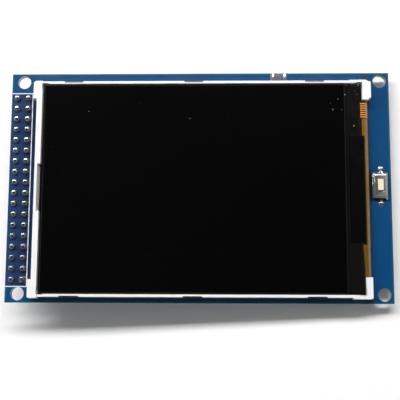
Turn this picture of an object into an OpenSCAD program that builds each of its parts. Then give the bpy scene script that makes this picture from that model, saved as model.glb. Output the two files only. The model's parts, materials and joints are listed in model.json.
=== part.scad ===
// TFT display module: a colour panel in a white frame, fixed to a blue circuit board,
// with a two-row pin header behind its left end and a reset switch at its right end.
// The origin is the centre of the four mounting holes, on the board's back face.
// The screen faces +Z, its long side runs along X and its upper edge is at +Y.

/* [Board] */
// Thickness of the circuit board
board_t = 1.6; // [1.0:0.1:2.0]
// Strip of board to the left of the display frame, which carries the header
header_strip = 6.6; // [6.4:0.1:9]
// Strip of board to the right of the display frame, which carries the reset switch
switch_strip = 5.2; // [5.2:0.1:8]
// Strip of board above the display frame
upper_strip = 2.65; // [2.65:0.05:5]
// Strip of board below the display frame
lower_strip = 1.25; // [0.8:0.05:4]
// Diameter of the mounting holes
hole_d = 3.1; // [2.5:0.1:3.2]
// Distance from the left edge to the nearest hole centres
hole_left = 2.9; // [2.2:0.05:3.0]
// Distance from the right edge to the nearest hole centres
hole_right = 2.15; // [2.1:0.05:2.6]
// Distance from the upper and lower edges to the nearest hole centres
hole_edge = 2.05; // [1.9:0.05:2.2]

/* [Header] */
// Rows of pins, two pins to a row
pin_rows = 18; // [10:1:18]
// Distance between neighbouring pins
pin_pitch = 2.54; // [2.0:0.01:2.54]
// Side of a square pin
pin_w = 0.64; // [0.5:0.01:0.7]
// Reach of the pins below the header's body
pin_reach = 6.0; // [4:0.5:12]
// Reach of the pins above the board's back face
pin_tail = 2.8; // [2.8:0.1:3.6]
// Height of the header's body
header_t = 2.54; // [2.0:0.02:3.0]
// Distance from the board's left edge to the header's body
header_inset = 0.2; // [0:0.05:0.6]
// Drop of the header's centre below the board's centre
header_drop = 0.34; // [0:0.02:0.6]
// Diameter of the plated pin holes
pin_hole_d = 1.0; // [0.96:0.02:1.1]
// Diameter of the solder pads
pad_d = 1.55; // [1.5:0.05:1.8]
// Height of the solder cones
solder_h = 1.0; // [0.6:0.1:1.2]

/* [Display frame] */
// Length of the frame without its ears
frame_w = 77.8; // [75:0.1:86]
// Height of the frame without its lips
frame_h = 50.6; // [50:0.1:60]
// Wall at the left end
wall_left = 1.3; // [1.1:0.05:1.6]
// Wall along the two long sides
wall_long = 0.6; // [0.6:0.05:1.1]
// Width of the two legs at the right end
wall_leg = 1.5; // [1.2:0.05:1.8]
// Length of the two legs at the right end
leg_len = 4.6; // [4.3:0.1:6]
// Reach of the two ears past the left end
ear_reach = 0.8; // [0.4:0.05:0.9]
// Length of those ears
ear_len = 4.25; // [3:0.05:4.6]
// Reach of the one ear past the right end
outer_ear = 0.55; // [0.3:0.05:0.6]
// Reach of the upper corner lips past the long side
upper_lip = 0.15; // [0.1:0.05:0.3]
// Reach of the lower corner lips past the long side
lower_lip = 0.3; // [0.2:0.05:0.35]
// Length of the corner lips
lip_len = 4.4; // [3:0.1:5]
// Length of the clip recesses along the long sides
clip_len = 4.4; // [3:0.1:5]
// Depth of the clip recesses
clip_depth = 0.15; // [0.1:0.05:0.2]
// Distance between neighbouring clip recesses
clip_pitch = 28.3; // [20:0.1:29]
// Length of the notch in the left wall
notch_len = 11.1; // [6:0.1:16]
// Width of rim left outside that notch
notch_rim = 0.6; // [0.3:0.05:0.7]

/* [Display panel] */
// Thickness of the tape under the display
tape_t = 0.35; // [0.3:0.05:1.2]
// Thickness of the metal tray under the frame
tray_t = 0.2; // [0.15:0.05:0.2]
// Thickness of the light guide
guide_t = 0.6; // [0.6:0.05:1.2]
// Thickness of each backlight film
film_t = 0.1; // [0.06:0.01:0.15]
// Thickness of each glass
glass_t = 0.5; // [0.4:0.05:0.7]
// Thickness of the front polarizer
polarizer_t = 0.2; // [0.12:0.01:0.25]
// Step from the front polarizer up to the frame's rim
rim_step = 0.15; // [0.05:0.05:0.4]
// Width of the glass ledge that carries the driver chip
ledge_w = 3.95; // [3.9:0.05:5]
// Thickness of the flexible circuit
flex_t = 0.12; // [0.08:0.01:0.15]
// Depth of the flexible circuit under the display
flex_run = 11; // [8:0.5:14]
// Number of solder tabs at the flexible circuit's end
flex_tabs = 45; // [20:1:48]
// Number of light diodes
led_count = 6; // [4:1:7]

/* [Reset switch] */
// Width of the switch's base
switch_w = 3.5; // [3.4:0.1:3.8]
// Length of the switch's base
switch_l = 6.0; // [5.6:0.1:6.6]
// Height of the switch's base
switch_base_h = 1.1; // [1.0:0.05:1.4]
// Height of the metal cover's top
switch_cover_h = 2.0; // [1.9:0.05:2.3]
// Height of the plunger's top
switch_h = 2.5; // [2.4:0.1:4]
// Width of the plunger
plunger_w = 1.25; // [1.2:0.05:1.4]
// Length of the plunger
plunger_l = 2.65; // [2.4:0.05:2.8]
// Clearance round the plunger
plunger_gap = 0.25; // [0.1:0.01:0.26]
// Travel of the plunger
travel = 0.25; // [0.15:0.05:0.25]
// Overall length across the two terminals
terminal_span = 8.9; // [8.6:0.1:10]

/* [Card socket] */
// Width of the memory card socket
socket_w = 14.0; // [13.4:0.1:16]
// Length of the memory card socket
socket_l = 14.8; // [13:0.1:16]
// Height of the memory card socket
socket_h = 1.9; // [1.8:0.05:2.4]
// Thickness of the socket's shell
shell_t = 0.2; // [0.15:0.01:0.25]

/* [Hidden] */

$fn = 64;
eps = 0.01;

// Board, about the centre of its mounting holes
board_w = header_strip + frame_w + switch_strip;
board_h = upper_strip + frame_h + lower_strip;
hole_span_x = board_w - hole_left - hole_right;
hole_span_y = board_h - 2 * hole_edge;
board_left = -hole_span_x / 2 - hole_left;
board_right = board_left + board_w;
board_top = board_h / 2;
board_bottom = -board_h / 2;
z_front = board_t;

// Header
header_w = 2 * pin_pitch;
header_len = pin_rows * pin_pitch;
header_x = board_left + header_inset + header_w / 2;
header_y = -header_drop;
header_cut = 0.16 * pin_pitch;
pin_tip = 0.3 * pin_w;
barrel_r = pin_hole_d / 2 - eps;

// Display outline and layers
frame_left = board_left + header_strip;
frame_right = frame_left + frame_w;
frame_top = board_top - upper_strip;
frame_bottom = frame_top - frame_h;
frame_mid = (frame_top + frame_bottom) / 2;
lower_corner = 0.3;
upper_corner = 0.7;
clip_shift = 1.85;
notch_slope = 0.4;
tape_gap = 0.05;
rim_tape_t = 0.15;
back_polarizer_t = rim_tape_t - 0.03;
z_tray = z_front + tape_t;
z_frame = z_tray + tray_t;
z_guide = z_frame + film_t;
z_films = z_guide + guide_t;
z_shelf = z_films + 3 * film_t;
z_array = z_shelf + rim_tape_t;
z_filter = z_array + glass_t;
z_polarizer = z_filter + glass_t;
z_rim = z_polarizer + polarizer_t + rim_step;

// Rectangles are [left, bottom, right, top]
pocket = [frame_left + wall_left, frame_bottom + wall_long,
          frame_right - wall_leg, frame_top - wall_long];
glass_gap_left = 0.55;
glass_gap_right = 0.1;
glass_gap = 0.3;
array_rect = [pocket[0] + glass_gap_left, pocket[1] + glass_gap,
              pocket[2] - glass_gap_right, pocket[3] - glass_gap];
filter_rect = [array_rect[0], array_rect[1], array_rect[2] - ledge_w, array_rect[3]];
light_rect = inset(filter_rect, 0.9);
light_pocket = inset(light_rect, -0.1);
led_bay = 2.6;
led_bay_rect = [light_pocket[2], light_pocket[1] + 2, light_pocket[2] + led_bay,
                light_pocket[3] - 2];

// Flexible circuit, from the glass ledge round the frame's right end to the board
flex_gap = 0.15;
flex_top = frame_top - leg_len - flex_gap;
flex_bottom = frame_bottom + leg_len + flex_gap;
flex_bond = 0.85;
flex_start = array_rect[2] - flex_bond;
bend_x = array_rect[2] + 0.35;
bend_r = (z_filter + flex_t - z_front) / 2;
bend_z = z_front + bend_r;
flex_end = bend_x - flex_run;
flex_tab_pitch = (flex_top - flex_bottom - 2) / flex_tabs;
wrap_x = array_rect[2] + 0.15;

// Driver chip on the ledge
chip_w = 1.1;
chip_l = 20.4;
chip_h = 0.3;
chip_left = filter_rect[2] + 1.15;
chip_rect = [chip_left, frame_mid - chip_l / 2, chip_left + chip_w, frame_mid + chip_l / 2];
cover_film = 0.06;
cover_len = 24.9;
cover_drop = 0.25;
cover_over = 0.3;

// Reset switch
switch_x = board_right - 2.8;
switch_y = 0;
cover_wall = 0.15;
cover_fit = 0.02;
cover_top = [switch_w - 0.9, switch_l - 1.4];
cover_foot = [switch_w - 0.6, switch_l - 0.8];
switch_base_w = switch_w - 2 * cover_wall - 2 * cover_fit;
flange_gap = 0.05;
flange_t = 0.4;
flange_grow = plunger_gap + 0.12;
cavity_floor = 0.35;
dome_r = 1.1;
dome_h = 2 * travel;
dome_t = 0.08;
terminal_w = 0.95;
terminal_shift = 0.4;
terminal_t = 0.2;
terminal_rise = 0.3;
terminal_root = 0.45;
terminal_neck = 0.28;

// Places on the board, as shares of its length from the left edge and of its height from the middle
function across(share) = board_left + share * board_w;
function up(share) = share * board_h;

// Front resistor, beside the upper edge
resistor_x = across(0.711);
resistor_size = [3.2, 1.6, 0.55];
resistor_y = board_top - 0.95;

// Parts on the back: [x, y, turn]
buffer_at = [across(0.268), 0, 90];
logic_at = [across(0.491), up(-0.165), 90];
regulator_at = [across(0.732), up(0.284), 0];
transistor_at = [across(0.732), up(-0.257), 0];
tantalums_at = [[across(0.648), up(0.294), 90], [across(0.816), up(0.33), 90]];
socket_y = up(-0.037);
chip_row_pitch = 2.6;
chips_at = [
    for (i = [0:7]) [across(0.38), up(-0.165) + chip_row_pitch * i, 0],
    [across(0.665), up(-0.229), 0], [across(0.665), up(-0.284), 0]
];
capacitors_at = [
    [across(0.268), up(0.184), 0], [across(0.268), up(-0.184), 0],
    [across(0.491), up(-0.321), 0], [across(0.491), up(0.028), 0],
    [across(0.776), up(-0.193), 90], [across(0.575), up(0.294), 90]
];
small_chip = [1.6, 0.8, 0.45];
tall_chip = [1.6, 0.8, 0.8];
tantalum_size = [3.2, 1.6, 1.6];

function inset(r, d) = [r[0] + d, r[1] + d, r[2] - d, r[3] - d];

// A flat plate over a rectangle
module plate(r, z, t) {
    translate([r[0], r[1], z]) cube([r[2] - r[0], r[3] - r[1], t]);
}

// A profile drawn in X and Z, given a depth along Y about y = 0
module along_y(depth) {
    translate([0, depth / 2, 0]) rotate([90, 0, 0]) linear_extrude(depth) children();
}

// A profile drawn in Y and Z, given a depth along X about x = 0
module along_x(depth) {
    translate([-depth / 2, 0, 0]) rotate([90, 0, 90]) linear_extrude(depth) children();
}

// A block whose four sides lean in from bottom [w, l] to top [w, l]
module leaning_block(bottom, top, h) {
    intersection() {
        along_y(bottom[1] + 1)
            polygon([[-bottom[0] / 2, 0], [bottom[0] / 2, 0], [top[0] / 2, h], [-top[0] / 2, h]]);
        along_x(bottom[0] + 1)
            polygon([[-bottom[1] / 2, 0], [bottom[1] / 2, 0], [top[1] / 2, h], [-top[1] / 2, h]]);
    }
}

// Places a part on the board's back face, with its own +Z pointing away from the board
module on_back(at) {
    translate([at[0], at[1], 0]) rotate([180, 0, at[2]]) children();
}

// Places a part on the board's front face
module on_front(x, y) {
    translate([x, y, z_front]) children();
}

module at_pins() {
    for (column = [-0.5, 0.5], row = [0:pin_rows - 1])
        translate([header_x + column * pin_pitch,
                   header_y + (row - (pin_rows - 1) / 2) * pin_pitch, 0]) children();
}

// ---- Board and header ----

module circuit_board() {
    color([0.07, 0.27, 0.48]) linear_extrude(board_t) difference() {
        translate([board_left, board_bottom]) square([board_w, board_h]);
        for (x = [-1, 1] * hole_span_x / 2, y = [-1, 1] * hole_span_y / 2)
            translate([x, y]) circle(d = hole_d);
        at_pins() circle(d = pin_hole_d);
    }
}

// One long side of the header's body, with a corner cut off every cell
function header_side(x, cut) = [
    for (i = [0:pin_rows - 1]) each [
        [x - cut, i * pin_pitch],
        [x, i * pin_pitch + header_cut],
        [x, (i + 1) * pin_pitch - header_cut]
    ],
    [x - cut, header_len]
];

function reversed(list) = [for (i = [len(list) - 1:-1:0]) list[i]];

module header_body() {
    outline = concat(
        [[0, header_cut]],
        header_side(header_w / 2, header_cut),
        [[0, header_len - header_cut]],
        reversed(header_side(-header_w / 2, -header_cut))
    );
    color([0.07, 0.07, 0.08]) translate([0, 0, -header_t]) linear_extrude(header_t) difference() {
        translate([header_x, header_y - header_len / 2]) polygon(outline);
        at_pins() square(pin_w, center = true);
    }
}

module pin_profile() {
    bottom = -header_t - pin_reach;
    polygon([
        [-pin_w / 2 + pin_tip, bottom], [pin_w / 2 - pin_tip, bottom],
        [pin_w / 2, bottom + 2 * pin_tip], [pin_w / 2, pin_tail - pin_tip],
        [pin_w / 2 - pin_tip, pin_tail], [-pin_w / 2 + pin_tip, pin_tail],
        [-pin_w / 2, pin_tail - pin_tip], [-pin_w / 2, bottom + 2 * pin_tip]
    ]);
}

module header_pins() {
    color([0.83, 0.68, 0.36]) at_pins() intersection() {
        along_y(pin_w) pin_profile();
        along_x(pin_w) pin_profile();
    }
}

// A hollow-sided cone of solder on a round pad, with the filled barrel below it
module solder_joint() {
    foot = pad_d / 2;
    neck = max(pin_hole_d / 2, 0.72 * pin_w);
    color([0.72, 0.73, 0.74]) difference() {
        rotate_extrude() polygon([
            [0, 0], [barrel_r, 0], [barrel_r, board_t], [foot, board_t],
            [foot * 0.86, board_t + 0.12 * solder_h],
            [(foot + neck) / 2 * 0.92, board_t + 0.4 * solder_h],
            [neck, board_t + 0.85 * solder_h], [neck * 0.93, board_t + solder_h],
            [0, board_t + solder_h]
        ]);
        translate([0, 0, -1]) linear_extrude(board_t + solder_h + 2) square(pin_w, center = true);
    }
}

// The joint of pin 1 stands on a square pad, so its solder is a four-sided heap
module square_solder_joint() {
    color([0.72, 0.73, 0.74]) difference() {
        union() {
            cylinder(r = barrel_r, h = board_t);
            translate([0, 0, board_t]) leaning_block([pad_d, pad_d], [1.0, 1.0], solder_h);
        }
        translate([0, 0, -1]) linear_extrude(board_t + solder_h + 2) square(pin_w, center = true);
    }
}

module header_solder() {
    for (column = [0, 1], row = [0:pin_rows - 1])
        translate([header_x + (column - 0.5) * pin_pitch,
                   header_y + (row - (pin_rows - 1) / 2) * pin_pitch, 0])
            if (column == 1 && row == 0) square_solder_joint();
            else solder_joint();
}

// ---- Display ----

module mounting_tape() {
    strip = 10;
    color([0.85, 0.85, 0.82]) for (x = [light_rect[0], flex_end - 3 - strip])
        plate([x, array_rect[1] + 1, x + strip, array_rect[3] - 1], z_front, tape_t);
}

// A rectangle with one round corner, at the origin
module one_round_corner(size, r) {
    translate([r, 0]) square([size[0] - r, size[1]]);
    translate([0, r]) square([size[0], size[1] - r]);
    translate([r, r]) circle(r = r);
}

// Draws on one long side of the frame, with y = 0 on the side and +y inwards;
// side 0 is the lower one and side 1 the upper one
module on_long_side(side) {
    translate([0, frame_mid]) mirror([0, side]) translate([0, -frame_h / 2]) children();
}

// Draws the same thing at the six clips along the two long sides
module at_clips() {
    middle = (frame_left + frame_right) / 2 - clip_shift;
    for (side = [0, 1], i = [-1, 0, 1]) on_long_side(side)
        translate([middle + i * clip_pitch, 0]) children();
}

// The frame's outline: the plate, its rounded corners with lips past the long sides, and its ears
module frame_outline() {
    corner = [lower_corner, upper_corner];
    ear_drop = 0.2;
    ear_stop = 0.45;
    lip = [lower_lip, upper_lip];
    translate([frame_left, frame_bottom]) square([frame_w - upper_corner, frame_h]);
    for (side = [0, 1]) on_long_side(side) {
        translate([frame_left - ear_reach, -lip[side]])
            one_round_corner([ear_reach + wall_left, ear_len], corner[side]);
        translate([frame_right, -lip[side]]) mirror([1, 0])
            one_round_corner([lip_len, leg_len + lip[side]], corner[side]);
    }
    on_long_side(1) translate([frame_right + outer_ear, ear_drop]) mirror([1, 0])
        one_round_corner([outer_ear + wall_leg / 2, leg_len - ear_drop - ear_stop], outer_ear / 2);
}

module rect_shape(r) {
    translate([r[0], r[1]]) square([r[2] - r[0], r[3] - r[1]]);
}

module clip_recesses() {
    at_clips() translate([-clip_len / 2, -1]) square([clip_len, clip_depth + 1]);
}

// The notch in the left wall leans out from the shelf up to the rim
module wall_notch() {
    foot = frame_left + notch_rim + notch_slope;
    rim = frame_left + notch_rim;
    far = pocket[0] + eps;
    translate([0, frame_mid, 0]) along_y(notch_len) polygon([
        [foot, z_shelf], [far, z_shelf], [far, z_rim + 1], [rim, z_rim + 1], [rim, z_rim]
    ]);
}

// Space above the shelf: the glass pocket with reliefs at its corners, and the way out for the
// flexible circuit between the two legs
module upper_space() {
    relief = 0.2;
    relief_len = 1.4;
    rect_shape(pocket);
    for (x = [pocket[0], pocket[2] - relief_len])
        translate([x, pocket[1] - relief])
            square([relief_len, pocket[3] - pocket[1] + 2 * relief]);
    for (y = [pocket[1], pocket[3] - relief_len])
        translate([pocket[0] - relief / 2, y])
            square([pocket[2] - pocket[0] + relief, relief_len]);
    translate([pocket[2] - 1, frame_bottom + leg_len])
        square([frame_right - pocket[2] + 2, frame_h - 2 * leg_len]);
}

// Space under the shelf: the light guide's pocket, the diodes' bay and the flexible circuit's bend
module lower_space() {
    rect_shape(light_pocket);
    rect_shape([led_bay_rect[0] - eps, led_bay_rect[1], led_bay_rect[2], led_bay_rect[3]]);
    translate([wrap_x, frame_bottom + leg_len])
        square([frame_right - wrap_x + 1, frame_h - 2 * leg_len]);
}

module display_frame() {
    color([0.95, 0.95, 0.94]) difference() {
        union() {
            translate([0, 0, z_frame]) linear_extrude(z_shelf - z_frame) difference() {
                frame_outline();
                lower_space();
            }
            translate([0, 0, z_shelf]) linear_extrude(z_rim - z_shelf) difference() {
                frame_outline();
                upper_space();
            }
        }
        translate([0, 0, z_shelf]) linear_extrude(z_rim) clip_recesses();
        wall_notch();
    }
}

// A sheet-metal tray under the frame: its long sides are folded up round the frame's foot, and
// six tabs on them hook into the frame's recesses
module backlight_tray() {
    edge = 0.3;
    play = 0.03;
    tab_top = z_rim - 0.45;
    side_start = frame_left + wall_left + 0.1;
    side_len = frame_right - lip_len - 0.1 - side_start;
    color([0.55, 0.53, 0.5]) {
        plate([frame_left + edge, frame_bottom + edge, wrap_x, frame_top - edge], z_tray, tray_t);
        for (side = [0, 1]) on_long_side(side) translate([side_start + side_len / 2, 0])
            along_x(side_len) polygon([
                [edge + eps, z_tray], [edge + eps, z_frame], [0, z_frame], [0, z_shelf],
                [-tray_t, z_shelf], [-tray_t, z_tray]
            ]);
        at_clips() along_x(clip_len - 2 * play) polygon([
            [0, z_shelf - 2 * play], [0, z_shelf + play], [clip_depth - play, z_shelf + play],
            [clip_depth - play, tab_top], [-tray_t, tab_top], [-tray_t, z_shelf - 2 * play]
        ]);
    }
}

module reflector_sheet() {
    color([0.9, 0.9, 0.92]) plate(light_rect, z_frame, film_t);
}

module light_guide() {
    color([0.85, 0.92, 0.95, 0.6]) plate(light_rect, z_guide, guide_t);
}

// The three films on the light guide, counted from below
module backlight_film(layer) {
    color([0.9, 0.9, 0.9]) plate(light_rect, z_films + layer * film_t, film_t);
}

module diffuser_film() {
    backlight_film(0);
}

module prism_film_lower() {
    backlight_film(1);
}

module prism_film_upper() {
    backlight_film(2);
}

module backlight_flex() {
    color([0.75, 0.5, 0.15]) plate(inset(led_bay_rect, 0.15), z_frame, film_t);
}

module backlight_leds() {
    led = [0.9, 3.8, 0.6];
    space = led_bay_rect[3] - led_bay_rect[1];
    color([0.95, 0.93, 0.75]) for (i = [0:led_count - 1])
        translate([led_bay_rect[0] + 0.2,
                   led_bay_rect[1] + (i + 0.5) * space / led_count - led[1] / 2, z_guide])
            difference() {
                cube(led);
                translate([-eps, 0.5, 0.12]) cube([0.3, led[1] - 1, led[2] - 0.24]);
            }
}

module rim_tape() {
    notch_left = frame_left + notch_rim + notch_slope + tape_gap;
    notch_half = notch_len / 2 - tape_gap;
    color([0.03, 0.03, 0.03]) {
        difference() {
            plate([pocket[0] + tape_gap, pocket[1] + tape_gap, pocket[2] - tape_gap,
                   pocket[3] - tape_gap], z_shelf, rim_tape_t);
            plate(inset(light_rect, 0.5), z_shelf - 1, 2);
        }
        plate([notch_left, frame_mid - notch_half, pocket[0] + 2 * tape_gap,
               frame_mid + notch_half], z_shelf, rim_tape_t);
    }
}

module rear_polarizer() {
    color([0.12, 0.12, 0.13]) plate(inset(light_rect, 0.7), z_array - back_polarizer_t,
                                    back_polarizer_t);
}

module array_glass() {
    color([0.3, 0.36, 0.36]) plate(array_rect, z_array, glass_t);
}

module filter_glass() {
    color([0.1, 0.12, 0.12]) plate(filter_rect, z_filter, glass_t);
}

module front_polarizer() {
    color([0.02, 0.02, 0.025]) plate(inset(filter_rect, 0.25), z_polarizer, polarizer_t);
}

module driver_chip() {
    color([0.2, 0.2, 0.22]) plate(chip_rect, z_filter, chip_h);
}

// Black film over the chip, from the bare glass to the flexible circuit
module driver_tape() {
    slope = 0.2;
    lap = 0.3;
    chip_top = z_filter + chip_h;
    flex_face = z_filter + flex_t;
    under = [
        [chip_rect[0] - lap, z_filter], [chip_rect[0] - eps, z_filter],
        [chip_rect[0] - eps, chip_top], [chip_rect[2] + eps, chip_top],
        [flex_start + slope, flex_face], [array_rect[2] + cover_over, flex_face]
    ];
    over = [
        [array_rect[2] + cover_over, flex_face + cover_film],
        [flex_start + slope, flex_face + cover_film],
        [chip_rect[2] + eps + cover_film, chip_top + cover_film],
        [chip_rect[0] - eps - cover_film, chip_top + cover_film],
        [chip_rect[0] - lap, z_filter + cover_film]
    ];
    color([0.02, 0.02, 0.02]) translate([0, frame_mid - cover_drop, 0]) along_y(cover_len)
        polygon(concat(under, over));
}

// The flexible circuit's profile: bonded to the ledge, bent back, and laid on the board
module flex_profile() {
    translate([flex_start, z_filter]) square([bend_x - flex_start, flex_t]);
    translate([bend_x, bend_z]) intersection() {
        difference() {
            circle(r = bend_r);
            circle(r = bend_r - flex_t);
        }
        translate([0, -bend_r]) square([bend_r, 2 * bend_r]);
    }
    translate([flex_end, z_front]) square([bend_x - flex_end, flex_t]);
}

module display_flex() {
    color([0.72, 0.45, 0.1]) translate([0, (flex_top + flex_bottom) / 2, 0])
        along_y(flex_top - flex_bottom) flex_profile();
}

module flex_solder() {
    tab_l = 1.2;
    middle = (flex_top + flex_bottom) / 2;
    color([0.72, 0.73, 0.74]) for (i = [0:flex_tabs - 1])
        translate([flex_end - tab_l, middle + (i - (flex_tabs - 1) / 2) * flex_tab_pitch
                   - flex_tab_pitch / 4, z_front])
            cube([tab_l, flex_tab_pitch / 2, flex_t]);
}

// ---- Reset switch ----

module round_square(size, r) {
    square([size[0], size[1] - 2 * r], center = true);
    square([size[0] - 2 * r, size[1]], center = true);
    for (x = [-1, 1], y = [-1, 1])
        translate([x * (size[0] / 2 - r), y * (size[1] / 2 - r)]) circle(r = r);
}

function flange_size() = [plunger_w + 2 * flange_grow, plunger_l + 2 * flange_grow];

module switch_base() {
    flange = flange_size();
    cavity = [max(flange[0], 2 * dome_r) + 0.1, flange[1] + 0.2];
    color([0.08, 0.08, 0.09]) on_front(switch_x, switch_y) difference() {
        linear_extrude(switch_base_h) round_square([switch_base_w, switch_l], 0.3);
        translate([-cavity[0] / 2, -cavity[1] / 2, cavity_floor])
            cube([cavity[0], cavity[1], switch_base_h]);
        for (side = [-1, 1]) translate([0, side * switch_l / 2, 0])
            translate([terminal_shift - terminal_w / 2 - eps, -terminal_root, -eps])
                cube([terminal_w + 2 * eps, 2 * terminal_root, terminal_rise + terminal_t + 2 * eps]);
    }
}

// The metal cover: a flat brim on the base, a raised middle with the plunger's opening, and a
// tab folded down each long side
module switch_cover() {
    skirt = switch_cover_h - switch_base_h;
    opening = [plunger_w + 2 * plunger_gap, plunger_l + 2 * plunger_gap];
    tab_l = 1.8;
    tab_h = 0.8;
    color([0.7, 0.7, 0.7]) on_front(switch_x, switch_y) difference() {
        union() {
            translate([-switch_w / 2, -switch_l / 2 + 0.1, switch_base_h])
                cube([switch_w, switch_l - 0.2, cover_wall]);
            translate([0, 0, switch_base_h]) leaning_block(cover_foot, cover_top, skirt);
            for (side = [-1, 1])
                translate([side * (switch_w - cover_wall) / 2 - cover_wall / 2, -tab_l / 2,
                           switch_base_h - tab_h])
                    cube([cover_wall, tab_l, tab_h + eps]);
        }
        translate([0, 0, switch_base_h - eps])
            leaning_block(cover_foot - [1, 1] * 2 * cover_wall,
                          cover_top - [1, 1] * 2 * cover_wall, skirt - cover_wall + eps);
        translate([-opening[0] / 2, -opening[1] / 2, 0])
            cube([opening[0], opening[1], switch_cover_h + 1]);
    }
}

module switch_plunger() {
    flange = flange_size();
    flange_top = switch_cover_h - cover_wall - flange_gap;
    nub_bottom = cavity_floor + dome_h + dome_t + 0.02;
    color([0.97, 0.92, 0.72]) on_front(switch_x, switch_y) {
        translate([-plunger_w / 2, -plunger_l / 2, flange_top - eps])
            cube([plunger_w, plunger_l, switch_h - flange_top + eps]);
        translate([-flange[0] / 2, -flange[1] / 2, flange_top - flange_t])
            cube([flange[0], flange[1], flange_t]);
        translate([0, 0, nub_bottom]) cylinder(r = 0.5, h = flange_top - nub_bottom);
    }
}

// A thin snap dome that stands on the base's floor
module switch_dome() {
    ball = (dome_r * dome_r + dome_h * dome_h) / (2 * dome_h);
    color([0.75, 0.75, 0.75]) on_front(switch_x, switch_y)
        translate([0, 0, cavity_floor]) rotate_extrude() intersection() {
            difference() {
                translate([0, dome_h - ball]) circle(r = ball + dome_t);
                translate([0, dome_h - ball]) circle(r = ball);
            }
            square([dome_r, dome_h + dome_t]);
        }
}

module switch_terminals() {
    rise = terminal_rise;
    tip = terminal_span / 2;
    root = switch_l / 2 - terminal_root;
    knee = switch_l / 2 + 0.35;
    color([0.78, 0.78, 0.78]) on_front(switch_x + terminal_shift, switch_y) for (side = [0, 1])
        mirror([0, side, 0]) difference() {
            along_x(terminal_w) polygon([
                [root, rise], [knee, rise], [knee + 0.25, 0], [tip, 0], [tip, terminal_t],
                [knee + 0.4, terminal_t], [knee + 0.15, rise + terminal_t],
                [root, rise + terminal_t]
            ]);
            for (edge = [-1, 1]) translate([edge * terminal_w / 2, knee + 0.2, -1])
                cylinder(r = terminal_neck, h = 3);
        }
}

module switch_solder() {
    tip = terminal_span / 2;
    knee = switch_l / 2 + 0.85;
    color([0.75, 0.76, 0.77]) on_front(switch_x + terminal_shift, switch_y)
        for (side = [0, 1]) mirror([0, side, 0]) {
            translate([0, tip, 0]) along_x(terminal_w)
                polygon([[0, 0], [0.3, 0], [0, terminal_t]]);
            for (edge = [-1, 1]) translate([edge * terminal_w / 2, (tip + knee) / 2, 0])
                along_y(tip - knee) polygon([[0, 0], [edge * 0.22, 0], [0, terminal_t]]);
        }
}

// ---- Small parts ----

module chip_middle(size, cap) {
    translate([-size[0] / 2 + cap, -size[1] / 2, 0]) cube([size[0] - 2 * cap, size[1], size[2]]);
}

module chip_ends(size, cap) {
    for (side = [-1, 1]) translate([side * (size[0] - cap) / 2 - cap / 2, -size[1] / 2, 0])
        cube([cap, size[1], size[2]]);
}

// Wedges of solder against both end faces
module chip_fillets(size, reach) {
    for (side = [0, 180]) rotate(side) translate([size[0] / 2, 0, 0]) along_y(size[1])
        polygon([[0, 0], [reach, 0], [reach * 0.4, size[2] * 0.3], [0, size[2] * 0.75]]);
}

module front_resistor() {
    color([0.12, 0.12, 0.14]) on_front(resistor_x, resistor_y) chip_middle(resistor_size, 0.5);
}

module front_resistor_caps() {
    color([0.75, 0.76, 0.77]) on_front(resistor_x, resistor_y) chip_ends(resistor_size, 0.5);
}

module front_resistor_solder() {
    color([0.72, 0.73, 0.74]) on_front(resistor_x, resistor_y) chip_fillets(resistor_size, 0.4);
}

module chip_resistors() {
    color([0.1, 0.1, 0.12]) for (at = chips_at) on_back(at) chip_middle(small_chip, 0.3);
}

module chip_capacitors() {
    color([0.66, 0.52, 0.38]) for (at = capacitors_at) on_back(at) chip_middle(tall_chip, 0.3);
}

module chip_terminals() {
    color([0.75, 0.76, 0.77]) {
        for (at = chips_at) on_back(at) chip_ends(small_chip, 0.3);
        for (at = capacitors_at) on_back(at) chip_ends(tall_chip, 0.3);
    }
}

module chip_solder() {
    color([0.72, 0.73, 0.74]) {
        for (at = chips_at) on_back(at) chip_fillets(small_chip, 0.25);
        for (at = capacitors_at) on_back(at) chip_fillets(tall_chip, 0.25);
    }
}

module tantalum_bodies() {
    color([0.85, 0.6, 0.2]) for (at = tantalums_at) on_back(at) translate([0, 0, 0.1])
        leaning_block([tantalum_size[0], tantalum_size[1]],
                      [tantalum_size[0] - 0.2, tantalum_size[1] - 0.2], tantalum_size[2] - 0.1);
}

module tantalum_terminals() {
    color([0.75, 0.76, 0.77]) for (at = tantalums_at) on_back(at) for (side = [0, 180])
        rotate(side) translate([tantalum_size[0] / 2, 0, 0]) along_y(1.2)
            polygon([[-0.8, 0], [0.12, 0], [0.12, 0.9], [0, 0.9], [0, 0.1], [-0.8, 0.1]]);
}

// A moulded package: two leaning halves that meet at the leads' plane
module package(size, standoff) {
    half = (size[2] - standoff) / 2;
    taper = 0.24;
    translate([0, 0, standoff + half])
        leaning_block([size[0], size[1]], [size[0] - taper, size[1] - taper], half);
    translate([0, 0, standoff + half]) mirror([0, 0, 1])
        leaning_block([size[0], size[1]], [size[0] - taper, size[1] - taper], half);
}

// Gull-wing leads along both long sides of a package
module gull_leads(size, standoff, count, pitch, width, reach, t) {
    middle = standoff + (size[2] - standoff) / 2;
    foot = size[1] / 2 + reach;
    knee = size[1] / 2 + reach * 0.35;
    for (side = [0, 180], i = [0:count - 1]) rotate(side)
        translate([(i - (count - 1) / 2) * pitch, 0, 0]) along_x(width) polygon([
            [size[1] / 2, middle - t / 2], [knee, middle - t / 2], [knee + 0.1, 0], [foot, 0],
            [foot, t], [knee + 0.1 + t, t], [knee + t, middle + t / 2],
            [size[1] / 2, middle + t / 2]
        ]);
}

buffer_size = [12.5, 6.1, 1.1];
logic_size = [9.9, 3.9, 1.6];
transistor_size = [2.9, 1.3, 1.0];
regulator_size = [6.5, 3.5, 1.7];
standoff = 0.1;

module buffer_body() {
    color([0.09, 0.09, 0.1]) on_back(buffer_at) package(buffer_size, standoff);
}

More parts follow.
